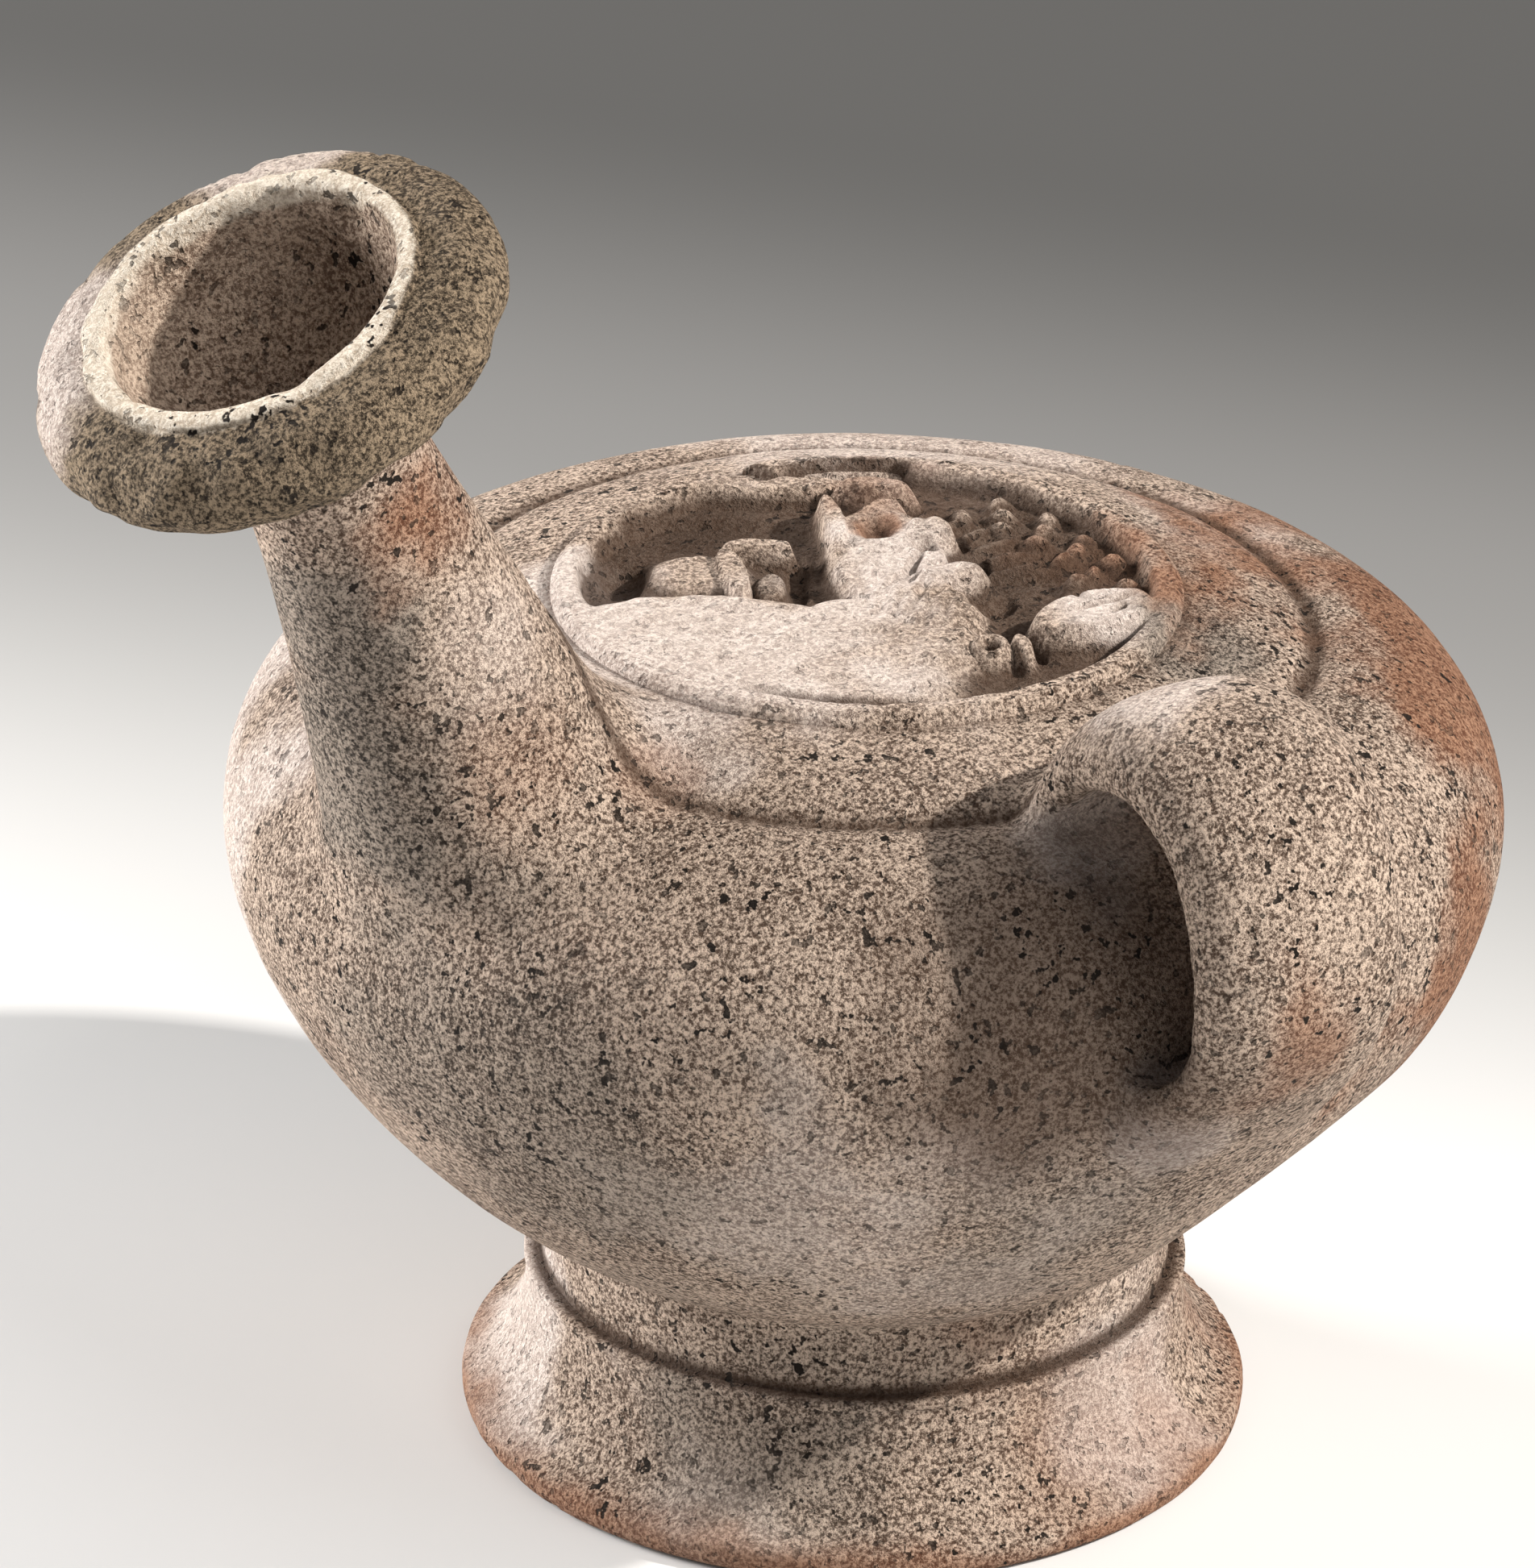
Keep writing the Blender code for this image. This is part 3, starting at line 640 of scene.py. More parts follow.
cup_shape = turned(cup_outline(), steps=160, closed=True)
leaned = Matrix.Translation(MOUTH_PLACE) @ Matrix.Rotation(-MOUTH_LEAN, 4, "Y")
bmesh.ops.transform(cup_shape, matrix=leaned, verts=cup_shape.verts[:])
wear(cup_shape, 0.8)
print("lip and cup:", len(cup_shape.faces), "faces")

# %% [markdown]
# ## The foot
#
# The foot was turned as a spreading ring with a thin ledge on top, where the stem stands in it, and it
# was hollowed from below. Its flare is a concave curve that ends in a rounded edge, much worn.

# %% The foot
FOOT_RADIUS = 0.0329
FOOT_HEIGHT = 0.0138
LEDGE_RADIUS = 0.0276
FOOT_HOLLOW = ((0.0263, 0), (0.0214, 0.0086), (0.0172, 0.0120), (0, 0.0120))


def foot_outline():
    """From the axis over the ledge, down the flare and up into the hollow."""
    flare_top = Vector((LEDGE_RADIUS - 0.0002, FOOT_HEIGHT - 0.0010))
    flare_end = Vector((FOOT_RADIUS - 0.0004, 0.0026))
    reach = flare_end.x - flare_top.x
    points = [Vector((0, FOOT_HEIGHT)), Vector((LEDGE_RADIUS - 0.0003, FOOT_HEIGHT))]
    points += [Vector((LEDGE_RADIUS, FOOT_HEIGHT - drop)) for drop in (0.0003, 0.0007)] + [flare_top]
    points += sweep(flare_top, flare_top - Vector((0, 0.50 * flare_top.y)),
                    flare_end + Vector((-0.60 * reach, 0.12 * flare_top.y)), flare_end, 16)
    points += sweep(flare_end, Vector((FOOT_RADIUS + 0.0001, 0.0018)), Vector((FOOT_RADIUS, 0.0003)),
                    Vector((FOOT_RADIUS - 0.0008, 0)), 6)
    points += [Vector(point) for point in FOOT_HOLLOW]
    return densified(points, 0.0007)


foot_shape = turned(foot_outline(), steps=256)
wear(foot_shape, 0.9)
for vert in foot_shape.verts:
    vert.co.z = max(vert.co.z, 0.0)
print("foot:", len(foot_shape.faces), "faces")

# %% [markdown]
# ## The medallion
#
# The medallion was pressed in a mould: a worn rim round a low relief of a draped, seated figure, with
# curls, a leaf and a knob beside it. A disc is spun with fine rings, and each point of its top is raised
# to the highest form at its place, less the deepest hollow there. A form is a soft-edged ellipse. Its row
# gives its name, its place to the right and away, its half length and half width, its turn in degrees, its
# height and the share of it that slopes. Places and lengths are shares of the medallion's radius, as seen
# from the front of the vessel. A fold's row gives its form, its height, how closely it repeats, which way
# it runs and how much it wanders.

# %% The medallion
RELIEF = 0.0028
RIM_SHARE = 0.715
RIM_FALL = 0.25
RIM_SLOPE = 0.050
RIM_WOBBLE = 0.012
DISC_THICKNESS = 0.0026
RINGS = 128
SPOKES = 384
CURLS = 14
STRANDS = 7
FORMS = (
    ("drapery", -0.42, -0.66, 0.92, 0.68, -16, 0.76, 0.36),
    ("lap", 0.04, -0.44, 0.50, 0.44, -20, 0.84, 0.50),
    ("torso", 0.07, 0.20, 0.24, 0.52, 6, 0.82, 0.26),
    ("hip", 0.20, -0.22, 0.27, 0.34, 25, 1.00, 0.60),
    ("head", 0.06, 0.60, 0.12, 0.13, 0, 0.88, 0.70),
    ("veil", -0.12, 0.46, 0.06, 0.32, 10, 1.00, 0.50),
    ("veil", 0.02, 0.76, 0.20, 0.07, -8, 1.00, 0.50),
    ("shoulder", 0.21, 0.40, 0.14, 0.14, 0, 1.02, 0.60),
    ("forearm", 0.28, 0.02, 0.22, 0.09, 30, 1.02, 0.55),
    ("knee", -0.58, 0.10, 0.27, 0.24, 0, 0.54, 0.60),
    ("post", -0.46, 0.06, 0.06, 0.24, 12, 0.78, 0.30),
    ("lintel", -0.38, 0.27, 0.17, 0.05, 3, 0.80, 0.40),
    ("block", -0.33, 0.02, 0.08, 0.16, 0, 0.40, 0.50),
    ("far_border", -0.36, 0.84, 0.46, 0.09, 3, 0.62, 0.45),
    ("leaf", 0.78, -0.24, 0.30, 0.17, 33, 0.92, 0.30),
    ("knob", 0.42, -0.52, 0.10, 0.12, 0, 0.84, 0.50),
    ("scroll", 0.53, -0.50, 0.05, 0.14, 15, 0.80, 0.60),
)
HOLLOWS = (
    ("behind_the_knee", -0.52, 0.52, 0.42, 0.16, 0, 0.22, 0.30),
    ("left_pit", -0.84, 0.12, 0.11, 0.17, 0, 0.50, 0.50),
    ("beside_the_torso", -0.24, 0.12, 0.05, 0.26, 0, 0.30, 0.60),
    ("under_the_arm", 0.43, -0.06, 0.07, 0.20, -30, 0.40, 0.60),
    ("behind_the_arm", 0.52, 0.06, 0.20, 0.20, -15, 0.12, 0.60),
    ("dark_hole", 0.39, 0.25, 0.05, 0.07, 0, 0.60, 0.60),
    ("small_hole", 0.32, 0.44, 0.04, 0.06, 0, 0.50, 0.60),
    ("armpit", 0.20, 0.27, 0.06, 0.06, 0, 0.30, 0.60),
    ("worn_hollow", 0.03, 0.42, 0.08, 0.13, 0, 0.34, 0.70),
    ("worn_fold", 0.16, 0.12, 0.03, 0.18, -14, 0.22, 0.80),
    ("knob_pit", 0.42, -0.53, 0.045, 0.06, 0, 0.60, 0.60),
    ("pit_by_the_scroll", 0.58, -0.42, 0.03, 0.08, 20, 0.50, 0.60),
    ("leaf_vein", 0.80, -0.20, 0.17, 0.025, 33, 0.34, 0.80),
    ("leaf_notch", 0.72, -0.14, 0.09, 0.022, -20, 0.30, 0.80),
    ("leaf_pit", 0.86, -0.24, 0.05, 0.022, 60, 0.50, 0.70),
    ("rim_cave", -0.48, 0.93, 0.17, 0.08, -12, 1.00, 0.50),
    ("rim_cave", -0.07, 0.97, 0.28, 0.08, 6, 1.00, 0.50),
)
FOLDS = (
    ("drapery", 0.055, 30, 0.35, 1.0, 4),
    ("hip", 0.045, 110, 1.0, -0.2, 2),
    ("torso", 0.070, 34, 1.0, 0.35, 4),
)


def form_share(across, away, form):
    """A form's height: full on its top, falling to 0 at its outline."""
    _, centre_across, centre_away, length, width, turn, height, edge = form
    angle = math.radians(turn)
    x = (across - centre_across) * math.cos(angle) + (away - centre_away) * math.sin(angle)
    y = (away - centre_away) * math.cos(angle) - (across - centre_across) * math.sin(angle)
    return height * (1 - smooth_share(1 - edge, 1.0, np.hypot(x / length, y / width)))


def curls():
    """Worn curls along the right of the rim, and the strands that lead to them."""
    forms = []
    for k in range(CURLS):
        angle = math.radians(6 + 58 * k / (CURLS - 1))
        radius = (0.90, 0.74, 0.82)[k % 3]
        forms.append(("curl", radius * math.cos(angle), radius * math.sin(angle), 0.09, 0.065,
                      50 * k, 0.46, 0.90))
    for k in range(STRANDS):
        angle = math.radians(14 + 68 * k / (STRANDS - 1))
        forms.append(("strand", 0.54 * math.cos(angle), 0.10 + 0.56 * math.sin(angle), 0.24, 0.045,
                      math.degrees(angle), 0.30, 0.90))
    return tuple(forms)


def curl_eyes():
    """The small hollow in every second curl."""
    eyes = []
    for _, across, away, _, _, turn, _, _ in curls()[:CURLS:2]:
        eyes.append(("eye", across + 0.02, away - 0.02, 0.05, 0.03, turn + 20, 0.24, 0.80))
    return tuple(eyes)


def relief_at(across, away, rough):
    """Height of the relief over the ground, and how deep in a hollow each place is."""
    rise = np.zeros(len(across))
    for form in FORMS + curls():
        rise = np.maximum(rise, form_share(across, away, form))
    by_name = {form[0]: form for form in FORMS}
    for name, height, count, rightwards, onwards, wander in FOLDS:
        wave = np.sin(count * (rightwards * across + onwards * away) + wander * rough)
        rise += height * wave * form_share(across, away, by_name[name])
    crumbly = smooth_share(0.40, 0.60, across) * smooth_share(-0.10, 0.10, away)
    rise += 0.16 * crumbly * rough
    sink = np.zeros(len(across))
    for form in HOLLOWS + curl_eyes():
        sink = np.maximum(sink, form_share(across, away, form))
    return rise - sink, sink


def medallion_height(places):
    """Height of the medallion's top at each place, how much brown earth and painted shade lies there, and
    its roughness.
    """
    across = np.array([place.dot(RIGHT) for place in places]) / MEDALLION_RADIUS
    away = np.array([place.dot(AWAY) for place in places]) / MEDALLION_RADIUS
    radius = np.hypot(across, away)
    angle = np.degrees(np.arctan2(away, across))
    rough = noise_at(places, 11 / MEDALLION_RADIUS, 2)
    rim_start = 1 + RIM_WOBBLE * noise_at(places, 4 / MEDALLION_RADIUS, 5)
    inside = 1 - smooth_share(rim_start - RIM_SLOPE, rim_start, radius)
    edge = RIM_RADIUS / MEDALLION_RADIUS
    rim = RIM_SHARE - RIM_FALL * smooth_share(edge - 0.030, edge, radius)
    relief, sink = relief_at(across, away, rough)
    front_seam = smooth_share(-118, -104, angle) * (1 - smooth_share(-34, -24, angle))
    left_seam = 0.6 * smooth_share(140, 150, angle) * smooth_share(-0.1, 0.3, rough)
    seam = np.maximum(front_seam, left_seam) * np.exp(-((radius - rim_start + 0.022) / 0.013) ** 2)
    cave = smooth_share(0.40, 0.70, sink) * smooth_share(0.84, 0.92, radius)
    height = relief * inside + rim * (1 - inside) - 0.40 * seam - 0.55 * cave * (1 - inside)
    # Brown on the low ground and in the hollows, partly earth and partly painted shade in the recesses,
    # painted shade in the rim's caves, and a dark seam by the rim.
    brown = inside * (1 - smooth_share(0.05, 0.55, relief)) + 1.2 * sink + seam + cave
    return height, np.clip(1.5 * brown, 0, 1), rough


def medallion_shape():
    """A disc with a fine top in relief."""
    top = [Vector((RIM_RADIUS * k / RINGS, 0)) for k in range(RINGS + 1)]
    shape = turned(top + [Vector((RIM_RADIUS, -DISC_THICKNESS)), Vector((0, -DISC_THICKNESS))], SPOKES)
    upper = [vert for vert in shape.verts if vert.co.z > -0.001]
    places = [vert.co.copy() for vert in upper]
    height, _, rough = medallion_height(places)
    fine = 0.03 * noise_at(places, 900) + 0.03 * rough
    for vert, share in zip(upper, height + fine):
        vert.co.z = RELIEF * share
    bmesh.ops.translate(shape, verts=shape.verts[:], vec=(0, 0, GROUND_HEIGHT))
    return shape


disc_shape = medallion_shape()
print("medallion:", len(disc_shape.faces), "faces")


# %% [markdown]
# ## Painting the clay's history
#
# The clay's colour changes over the pot: red where it fired well and on the foot's worn edge, grey where
# earth clung to it, pale where lime bloomed, olive crust round the mouth and brown earth in the medallion's
# hollows. Some of the painted colour is light and shade instead: the handle's shadow on the belly, shade in
# the shoulder's groove, under the medallion's rim, in the foot's corner, in the medallion's recesses and
# caves and on the foot's front, and a highlight at the strap's lower root. Each of these is painted as a
# number on the points of the mesh, and the material mixes its colours by them. A patch is a soft ball of
# colour, and its row gives its place to the right, away and up, its reach and its strength. One more
# number, calm, is higher where bloom or handling has closed the pores, so that fewer dark grains and pits
# show there.

# %% Painting the clay's history
PATCHES = {
    "rust": (
        (0.046, 0.012, 0.058, 0.030, 1.0), (0.050, -0.008, 0.042, 0.024, 0.9),
        (0.038, 0.030, 0.066, 0.016, 0.7), (0.020, -0.030, 0.006, 0.020, 0.40),
        (0.034, -0.010, 0.006, 0.018, 0.45), (-0.036, -0.036, 0.096, 0.008, 0.8),
        (-0.024, -0.040, 0.076, 0.008, 0.35), (0.008, -0.046, 0.052, 0.009, 0.25),
        (0.032, -0.048, 0.060, 0.009, 0.6), (-0.016, -0.032, 0.070, 0.006, 0.40),
        (-0.031, -0.040, 0.104, 0.006, 0.45), (-0.044, -0.050, 0.100, 0.007, 0.6),
        (-0.050, -0.034, 0.108, 0.006, 0.4), (0.0008, 0.0100, 0.0745, 0.0028, 0.8),
        (0.030, -0.020, 0.0705, 0.004, 0.6), (0.0170, 0.0080, 0.0750, 0.008, 0.7),
        (0.0010, 0.0180, 0.0750, 0.008, 0.5),
    ),
    "ash_and_shade": (
        (-0.006, -0.040, 0.030, 0.026, 0.35), (-0.026, -0.042, 0.046, 0.022, 0.6),
        # The first patch on the next line, on the foot's front middle, is painted shade, not earth.
        (-0.004, -0.028, 0.008, 0.013, 0.6), (0.012, -0.046, 0.036, 0.016, 0.5),
        (-0.044, -0.038, 0.074, 0.013, 0.9), (-0.041, -0.038, 0.088, 0.010, 0.9),
        (0.027, -0.008, 0.072, 0.008, 0.8), (-0.014, -0.028, 0.010, 0.008, 0.6),
        (0.004, -0.027, 0.020, 0.014, 0.4), (-0.013, 0.0115, 0.0715, 0.007, 0.9),
        (0.011, 0.004, 0.0720, 0.005, 0.6),
    ),
    "bloom_and_highlight": (
        (-0.052, 0.004, 0.052, 0.026, 1.0), (-0.048, -0.016, 0.036, 0.014, 0.7),
        (-0.032, -0.006, 0.010, 0.018, 1.0), (-0.026, -0.004, 0.074, 0.014, 1.0),
        (0.0, 0.042, 0.066, 0.028, 0.6), (0.024, -0.038, 0.078, 0.008, 0.9),
        (0.018, -0.036, 0.067, 0.007, 0.8), (-0.008, -0.014, 0.074, 0.019, 0.75),
        (0.003, 0.004, 0.0745, 0.009, 0.85), (0.0185, -0.0060, 0.0740, 0.0065, 1.0),
        (-0.060, -0.038, 0.112, 0.012, 0.9), (-0.044, -0.022, 0.118, 0.011, 0.8),
        (0.030, 0.020, 0.071, 0.012, 0.5), (-0.010, -0.030, 0.0715, 0.006, 0.5),
        (0.028, -0.018, 0.008, 0.016, 0.8), (0.000, -0.050, 0.034, 0.022, 0.55),
        # The second patch on the next line, at the strap's lower root, is a painted highlight, not lime
        # bloom.
        (-0.010, -0.031, 0.001, 0.010, 0.6), (0.0240, -0.0460, 0.0500, 0.006, 0.8),
        (-0.026, -0.038, 0.086, 0.009, 0.4),
    ),
}
# Where the handle's shadow is painted on the belly, and how far it reaches.
STRAP_SHADOW_PLACE = RIGHT * 0.015 - AWAY * 0.046 + UP * 0.058
STRAP_SHADOW_REACH = 0.017
RAGGEDNESS = 0.55


def patch_shares(kind, spots, ragged):
    """How strongly one kind of colour shows at each place, with a ragged edge."""
    share = np.zeros(len(spots))
    for across, away, up, reach, strength in PATCHES[kind]:
        distance = np.linalg.norm(spots - np.array((across, away, up)), axis=1) / reach + ragged
        share = np.maximum(share, strength * (1 - smooth_share(0.35, 1.15, distance)))
    return share


def pot_brown(places):
    """Painted shade in the shoulder's groove, under the medallion's rim and in the foot's corner, and the
    handle's painted shadow on the belly under the strap.
    """
    radius = np.array([math.hypot(place.x, place.y) for place in places])
    height = np.array([place.z for place in places])
    # Painted shade in the shoulder's groove, in the foot's corner under the stem and under the medallion's
    # rim.
    groove = 1 - smooth_share(0.0004, 0.0012, abs(radius - SHOULDER_RADIUS + 0.0008))
    groove *= smooth_share(0.0665, 0.0680, height)
    corner = 1 - smooth_share(0.0003, 0.0014, np.hypot(radius - STEM_RADIUS, height - FOOT_HEIGHT))
    rim_corner = 1 - smooth_share(0.0002, 0.0012, abs(radius - RIM_RADIUS))
    rim_corner *= smooth_share(0.072, 0.0726, height)
    # A painted shadow of the handle on the belly, under the strap.
    from_strap = np.array([(place - STRAP_SHADOW_PLACE).length for place in places]) / STRAP_SHADOW_REACH
    strap_shadow = 0.75 * (1 - smooth_share(0.55, 1.0, from_strap + 0.25 * noise_at(places, 120, 4)))
    return np.maximum(np.maximum(0.9 * groove, strap_shadow), np.maximum(corner, 0.5 * rim_corner))


def relief_brown(places):
    """Brown earth and painted shade in the medallion's hollows and rim caves."""
    return medallion_height(places)[1]


def finished(name, shape, brown=pot_brown):
    """The object in its place, with the clay's history, painted shade and a painted highlight on its
    points.
    """
    places = [vert.co.copy() for vert in shape.verts]
    thing = object_from(name, shape)
    spots = np.array([(place.dot(RIGHT), place.dot(AWAY), place.z) for place in places])
    ragged = RAGGEDNESS * np.array([noise.fractal(place * 70, 0.8, 2.1, 5) for place in places])
    above, beside = from_mouth(places)
    collar = smooth_share(-0.011, -0.005, above)
    paints = {kind: patch_shares(kind, spots, ragged) for kind in PATCHES}
    foot_edge = 0.75 * (1 - smooth_share(0.0010, 0.0048, spots[:, 2] + 0.0030 * ragged))
    paints["rust"] = np.maximum(paints["rust"], foot_edge)
    paints["crust"] = collar * smooth_share(0.0100, 0.0128, beside + 0.5 * np.maximum(above, 0))
    paints["crust"] *= 1 - np.maximum(0.9 * paints["bloom_and_highlight"], 0.7 * paints["rust"])
    paints["lip"] = smooth_share(0.0022, 0.0032, above) * (
        1 - smooth_share(0.0007, 0.0013, abs(beside - LIP_RADIUS + 0.0001) + 0.0009 * ragged))
    paints["mouth"] = collar * (1 - smooth_share(0.0110, 0.0124, beside))
    middle = np.array([math.hypot(place.x, place.y) < MEDALLION_RADIUS for place in places])
    paints["calm"] = 0.30 * paints["bloom_and_highlight"] + 0.12 * middle * (spots[:, 2] > GROUND_HEIGHT)
    paints["brown"] = brown(places)
    for kind, values in paints.items():
        layer = thing.data.attributes.new(kind, "FLOAT", "POINT")
        layer.data.foreach_set("value", values.astype(np.float32))
    thing.data.transform(Matrix.Translation(VESSEL_AXIS))
    thing.data.polygons.foreach_set("use_smooth", np.ones(len(thing.data.polygons), dtype=bool))
    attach(thing, "root")
    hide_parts("guttus")
    return thing


pot = finished("pot", pot_shape)
cup = finished("lip_and_cup", cup_shape)
foot = finished("foot", foot_shape)
medallion = finished("medallion", disc_shape, relief_brown)
clay_pieces = [pot, cup, foot, medallion]
print("painted", [piece.name for piece in clay_pieces])


# %% [markdown]
# ## Shader helpers
#
# A material is a small graph of nodes. Writing its sums as Python expressions keeps them readable, so one
# class wraps a number that varies over the surface and turns + - * / into Math nodes. Everything else,
# noises and mixes, comes from one method that adds a node.

# %% Shader helpers
class Number:
    """A varying number in a material. Python's operators on it add Math nodes."""

    def __init__(self, finish, socket):
        self.finish = finish
        self.socket = socket

    def math(self, operation, *values):
        """The Number that a Math node makes of the values."""
        node = self.finish.add("ShaderNodeMath", {"operation": operation}, dict(enumerate(values)))
        return Number(self.finish, node.outputs[0])

    def __add__(self, other):
        return self.math("ADD", self, other)

    def __radd__(self, other):
        return self.math("ADD", other, self)

    def __sub__(self, other):
        return self.math("SUBTRACT", self, other)

    def __rsub__(self, other):
        return self.math("SUBTRACT", other, self)

    def __mul__(self, other):
        return self.math("MULTIPLY", self, other)

    def __rmul__(self, other):
        return self.math("MULTIPLY", other, self)

    def between(self, low, high):
        """Rises smoothly from 0 at low to 1 at high."""
        node = self.finish.add("ShaderNodeMapRange", {"interpolation_type": "SMOOTHSTEP"},
                               {"Value": self, "From Min": low, "From Max": high})
        return Number(self.finish, node.outputs[0])


class Finish:
    """A material under construction."""

    def __init__(self, name):
        self.material = bpy.data.materials.new(name)
        self.material.use_nodes = True
        self.tree = self.material.node_tree
        self.shader = self.tree.nodes["Principled BSDF"]
        self.place = self.add("ShaderNodeTexCoord").outputs["Object"]

    def put(self, socket, value):
        """Links a node's output to a socket, or sets a plain value on it."""
        if isinstance(value, Number):
            value = value.socket
        if isinstance(value, bpy.types.NodeSocket):
            self.tree.links.new(value, socket)
        else:
            socket.default_value = value

    def add(self, kind, settings=None, values=None):
        """A node of that kind: its settings first, then its sockets."""
        node = self.tree.nodes.new(kind)
        for name, value in (settings or {}).items():
            setattr(node, name, value)
        for name, value in (values or {}).items():
            self.put(node.inputs[name], value)
        return node

    def grain(self, scale, detail=2.0, roughness=0.5):
        """Noise at a scale, in features for each metre."""
        node = self.add("ShaderNodeTexNoise", {},
                        {"Vector": self.place, "Scale": scale, "Detail": detail, "Roughness": roughness})
        return Number(self, node.outputs["Fac"])

    def painted(self, name):
        """A number painted on the points of the mesh."""
        return Number(self, self.add("ShaderNodeAttribute", {"attribute_name": name}).outputs["Fac"])

    def mix(self, share, first, second):
        """A colour between two."""
        node = self.add("ShaderNodeMix", {"data_type": "RGBA"}, {0: share, 6: first, 7: second})
        return node.outputs[2]


print("helpers ready")

# %% [markdown]
# ## Worn fired clay
#
# Seen close, the clay is a gritty mix of pinkish beige and brown, with pale grains standing out and dark
# pits where grains were lost. It is dull all over. The pits and grains also lift and lower the surface a
# little, which a Bump node shows without more faces.

# %% Worn fired clay
STAINS = (
    ("clay", (0.090, 0.055, 0.037, 1), (0.740, 0.575, 0.455, 1)),
    # The bloom colours also make one painted highlight, at the strap's lower root.
    ("bloom_and_highlight", (0.340, 0.250, 0.210, 1), (0.880, 0.760, 0.680, 1)),
    # The ash colours also make one patch of painted shade, on the foot's front middle.
    ("ash_and_shade", (0.050, 0.038, 0.029, 1), (0.460, 0.375, 0.305, 1)),
    ("rust", (0.130, 0.050, 0.026, 1), (0.440, 0.245, 0.152, 1)),
    ("crust", (0.042, 0.029, 0.018, 1), (0.380, 0.285, 0.190, 1)),
    ("mouth", (0.170, 0.108, 0.074, 1), (0.680, 0.530, 0.410, 1)),
    ("lip", (0.560, 0.450, 0.340, 1), (0.930, 0.830, 0.700, 1)),
)
EARTH_AND_SHADE_BROWN = (0.075, 0.042, 0.026, 1)
PIT_BLACK = (0.014, 0.009, 0.006, 1)


def worn_clay():
    """Gritty pinkish-brown clay with the painted stains, painted shade and a painted highlight."""
    clay = Finish("worn_clay")
    mottle = clay.grain(95, 4, 0.6)
    grit = clay.grain(2300, 4, 0.8)
    sand = clay.grain(4200, 2, 0.6)
    spread = clay.grain(150, 3, 0.6).between(0.36, 0.62)
    pits = 1 - clay.grain(1050, 2, 0.55).between(0.350, 0.390)

    deep, light = STAINS[0][1:]
    for kind, dark, pale in STAINS[1:]:
        share = (clay.painted(kind) * (0.55 + mottle)).between(0.05, 0.95)
        deep = clay.mix(share, deep, dark)
        light = clay.mix(share, light, pale)
    deep = clay.mix(clay.painted("calm"), deep, light)
    colour = clay.mix((grit * 0.7 + sand * 0.2 + mottle * 0.1).between(0.42, 0.59), deep, light)
    # Brown earth in the medallion's hollows, painted shade in creases, corners and recesses, and the
    # handle's painted shadow.
    colour = clay.mix(clay.painted("brown") * 0.88, colour, EARTH_AND_SHADE_BROWN)
    pitted = pits * (0.4 + 0.6 * spread) * (1 - clay.painted("calm") * 2.0)
    colour = clay.mix(pitted, colour, PIT_BLACK)
    clay.put(clay.shader.inputs["Base Color"], colour)
    clay.put(clay.shader.inputs["Roughness"], 0.92)
    clay.put(clay.shader.inputs["Specular IOR Level"], 0.2)

    height = grit + sand * 0.35 - pits * 0.8
    bump = clay.add("ShaderNodeBump", {}, {"Strength": 1.0, "Distance": 0.0006, "Height": height})
    clay.put(clay.shader.inputs["Normal"], bump.outputs["Normal"])
    return clay.material


clay_finish = worn_clay()
for piece in clay_pieces:
    piece.data.materials.clear()
    piece.data.materials.append(clay_finish)
print("clay on", len(clay_pieces), "pieces")

# %% [markdown]
# ## The floor
#
# The vessel stands on a plain pale sheet. Its fall-off to grey behind the vessel is painted shade: a soft
# ramp in the sheet's colour over the sheet itself, in the sheet's own coordinates.

# %% The floor
# The middle and far colours are painted shade of the light's fall-off behind the vessel.
NEAR_PAPER = (0.71, 0.705, 0.695, 1)
MIDDLE_PAPER_SHADE = (0.178, 0.175, 0.170, 1)
FAR_PAPER_SHADE = (0.060, 0.0585, 0.056, 1)
PAPER_DROP = 0.0001

sheet = bmesh.new()
bmesh.ops.create_grid(sheet, x_segments=1, y_segments=1, size=1.6)
bmesh.ops.translate(sheet, verts=sheet.verts[:], vec=(0, 0, -PAPER_DROP))
floor = object_from("floor", sheet)


def pale_sheet_with_falloff():
    """Pale paper with painted shade that darkens it away from the front."""
    paper = Finish("paper_with_painted_falloff")
    along = AWAY + 0.35 * RIGHT
    node = paper.add("ShaderNodeVectorMath", {"operation": "DOT_PRODUCT"}, {0: paper.place, 1: along})
    distance = Number(paper, node.outputs["Value"])
    # The ramp darkens the paper away from the front: painted shade of the light's fall-off.
    colour = paper.mix(distance.between(0.0, 0.20), NEAR_PAPER, MIDDLE_PAPER_SHADE)
    colour = paper.mix(distance.between(0.18, 0.30), colour, FAR_PAPER_SHADE)
    paper.put(paper.shader.inputs["Base Color"], colour)
    paper.put(paper.shader.inputs["Roughness"], 0.95)
    return paper.material


floor.data.materials.append(pale_sheet_with_falloff())
print("floor laid")

# %% [markdown]
# ## Light and camera
#
# One small firm light stands to the right, so that the handle throws its shadow across the belly and every
# grain of the clay stands out. A wide soft light stands to the left and a little behind the vessel, another
# before it on the right, and the room's own pale light fills the rest. The camera looks down on the vessel
# through a long lens.

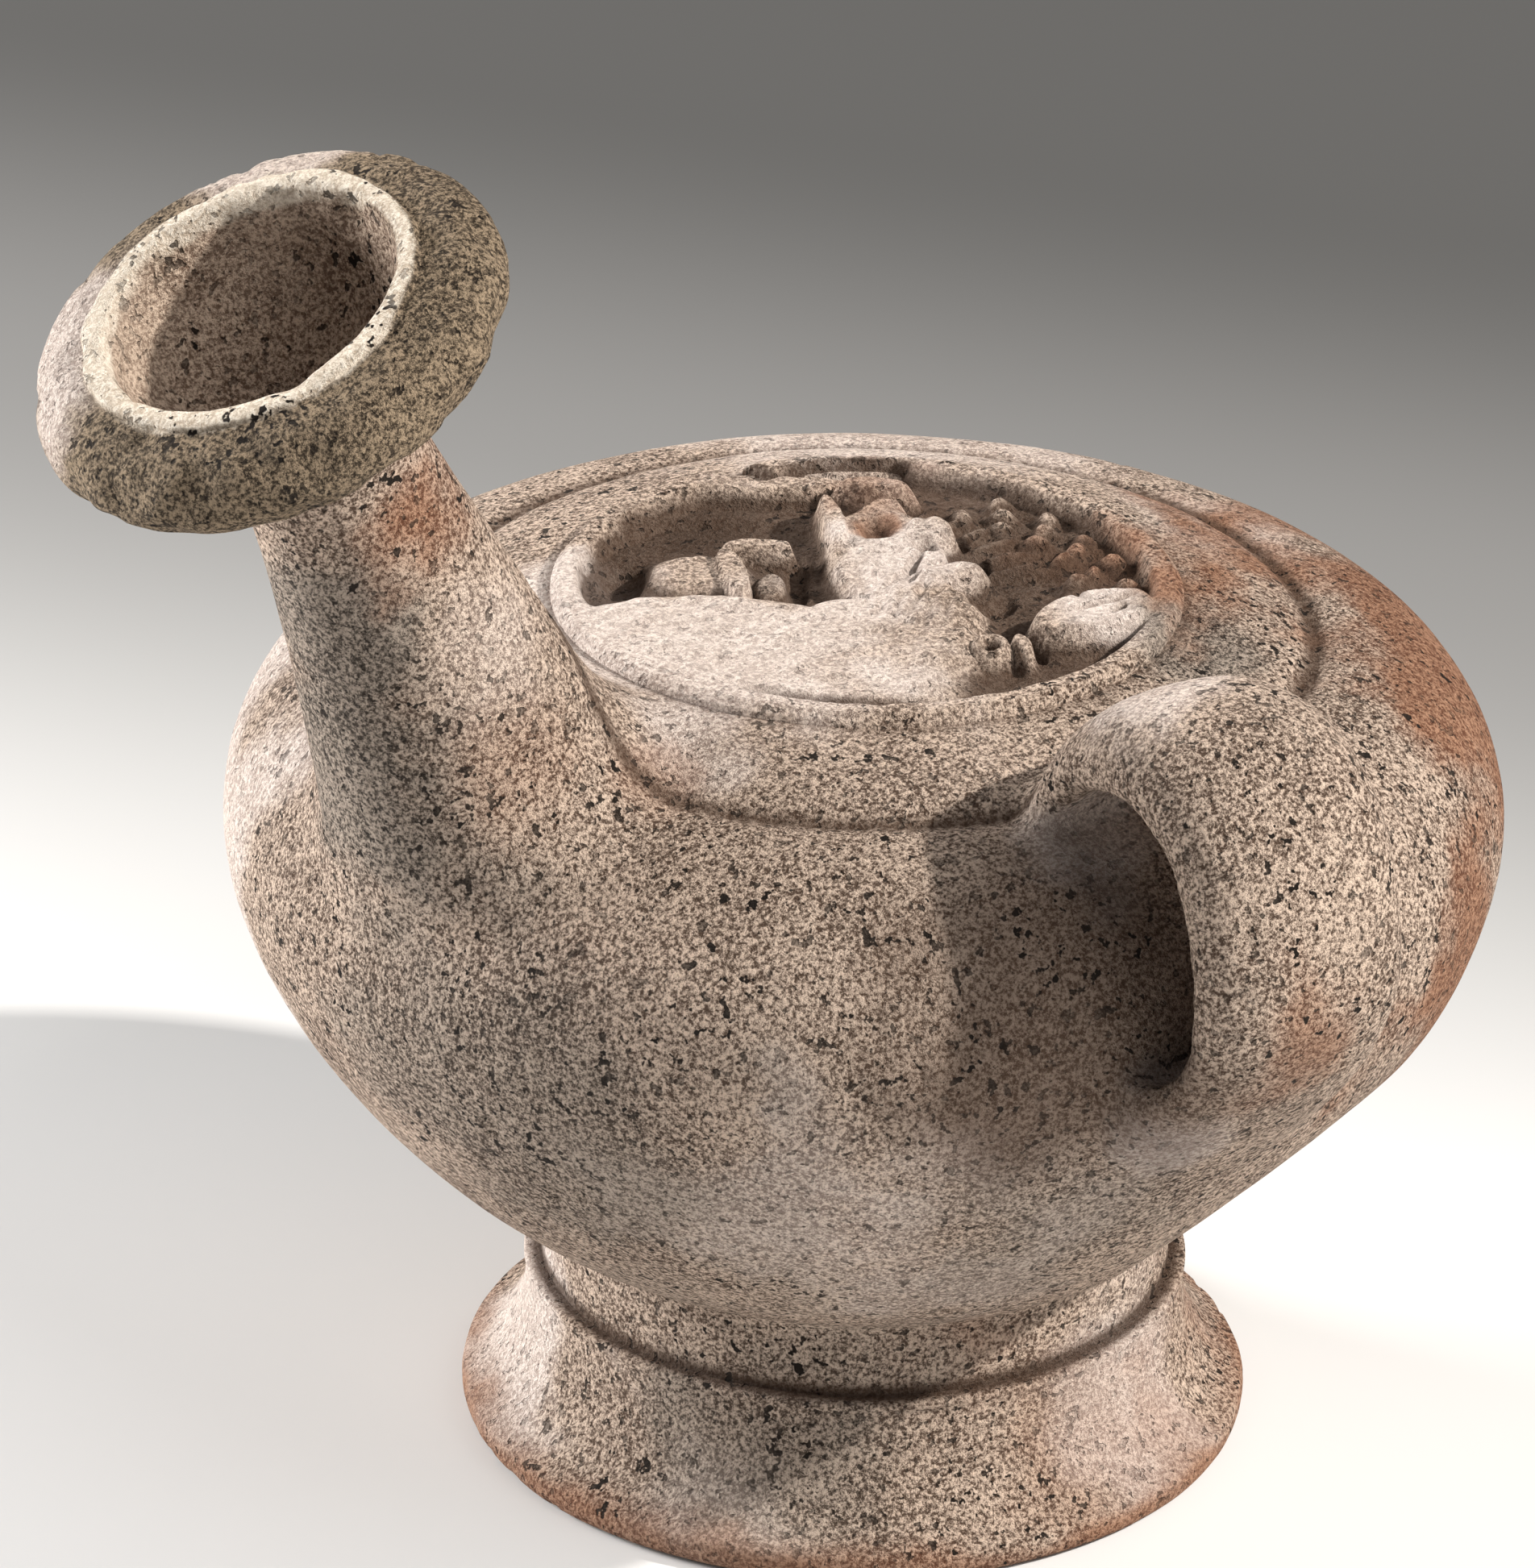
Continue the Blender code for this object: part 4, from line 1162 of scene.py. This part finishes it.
# %% Light and camera
def lamp(name, across, away, up, size, power, colour):
    """A square area light that faces the vessel's middle."""
    light = bpy.data.lights.new(name, "AREA")
    light.shape = "SQUARE"
    light.size = size
    light.energy = power
    light.color = colour
    thing = bpy.data.objects.new(name, light)
    bpy.context.scene.collection.objects.link(thing)
    middle = VESSEL_AXIS + UP * LIT_HEIGHT
    thing.location = middle + RIGHT * across + AWAY * away + UP * up
    thing.rotation_euler = (middle - thing.location).to_track_quat("-Z", "Y").to_euler()


LIT_HEIGHT = 0.05
lamp("firm_light", 1.014, -0.143, 0.800, 0.05, 25, (1.0, 0.96, 0.91))
lamp("left_light", -0.95, 0.32, 0.26, 0.40, 22, (1.0, 0.99, 0.98))
lamp("front_light", 0.66, -0.56, 0.87, 0.60, 5.5, (1.0, 0.98, 0.96))

room = bpy.data.worlds.new("room")
bpy.context.scene.world = room
room.use_nodes = True
room.node_tree.nodes["Background"].inputs["Color"].default_value = (0.95, 0.97, 1.0, 1)
room.node_tree.nodes["Background"].inputs["Strength"].default_value = 0.28
bpy.context.scene.view_settings.view_transform = "Standard"

ELEVATION = math.radians(26.5)
ROLL = math.radians(1.1)
DISTANCE = 0.70
AIM_HEIGHT = 0.045
FOCAL_PIXELS = 10640
PICTURE_PIXELS = 1945
SENSOR_WIDTH = 36
AIM_OFFSET = (116, 147.5)
back = -AWAY * math.cos(ELEVATION) + UP * math.sin(ELEVATION)
level_up = RIGHT.cross(-back)
camera_right = RIGHT * math.cos(ROLL) + level_up * math.sin(ROLL)
camera_up = level_up * math.cos(ROLL) - RIGHT * math.sin(ROLL)
aim = VESSEL_AXIS + UP * AIM_HEIGHT
eye = aim + back * DISTANCE
centre = aim + DISTANCE / FOCAL_PIXELS * (camera_up * AIM_OFFSET[1] - camera_right * AIM_OFFSET[0])
looking = (centre - eye).normalized()
camera_right = looking.cross(camera_up).normalized()
camera_up = camera_right.cross(looking)

camera_data = bpy.data.cameras.new("camera")
camera_data.sensor_width = SENSOR_WIDTH
camera_data.lens = FOCAL_PIXELS / PICTURE_PIXELS * SENSOR_WIDTH
camera = bpy.data.objects.new("camera", camera_data)
bpy.context.scene.collection.objects.link(camera)
turn = Matrix((camera_right, camera_up, -looking)).transposed()
camera.matrix_world = Matrix.Translation(eye) @ turn.to_4x4()
bpy.context.scene.camera = camera
print("camera at", tuple(round(value, 3) for value in eye))
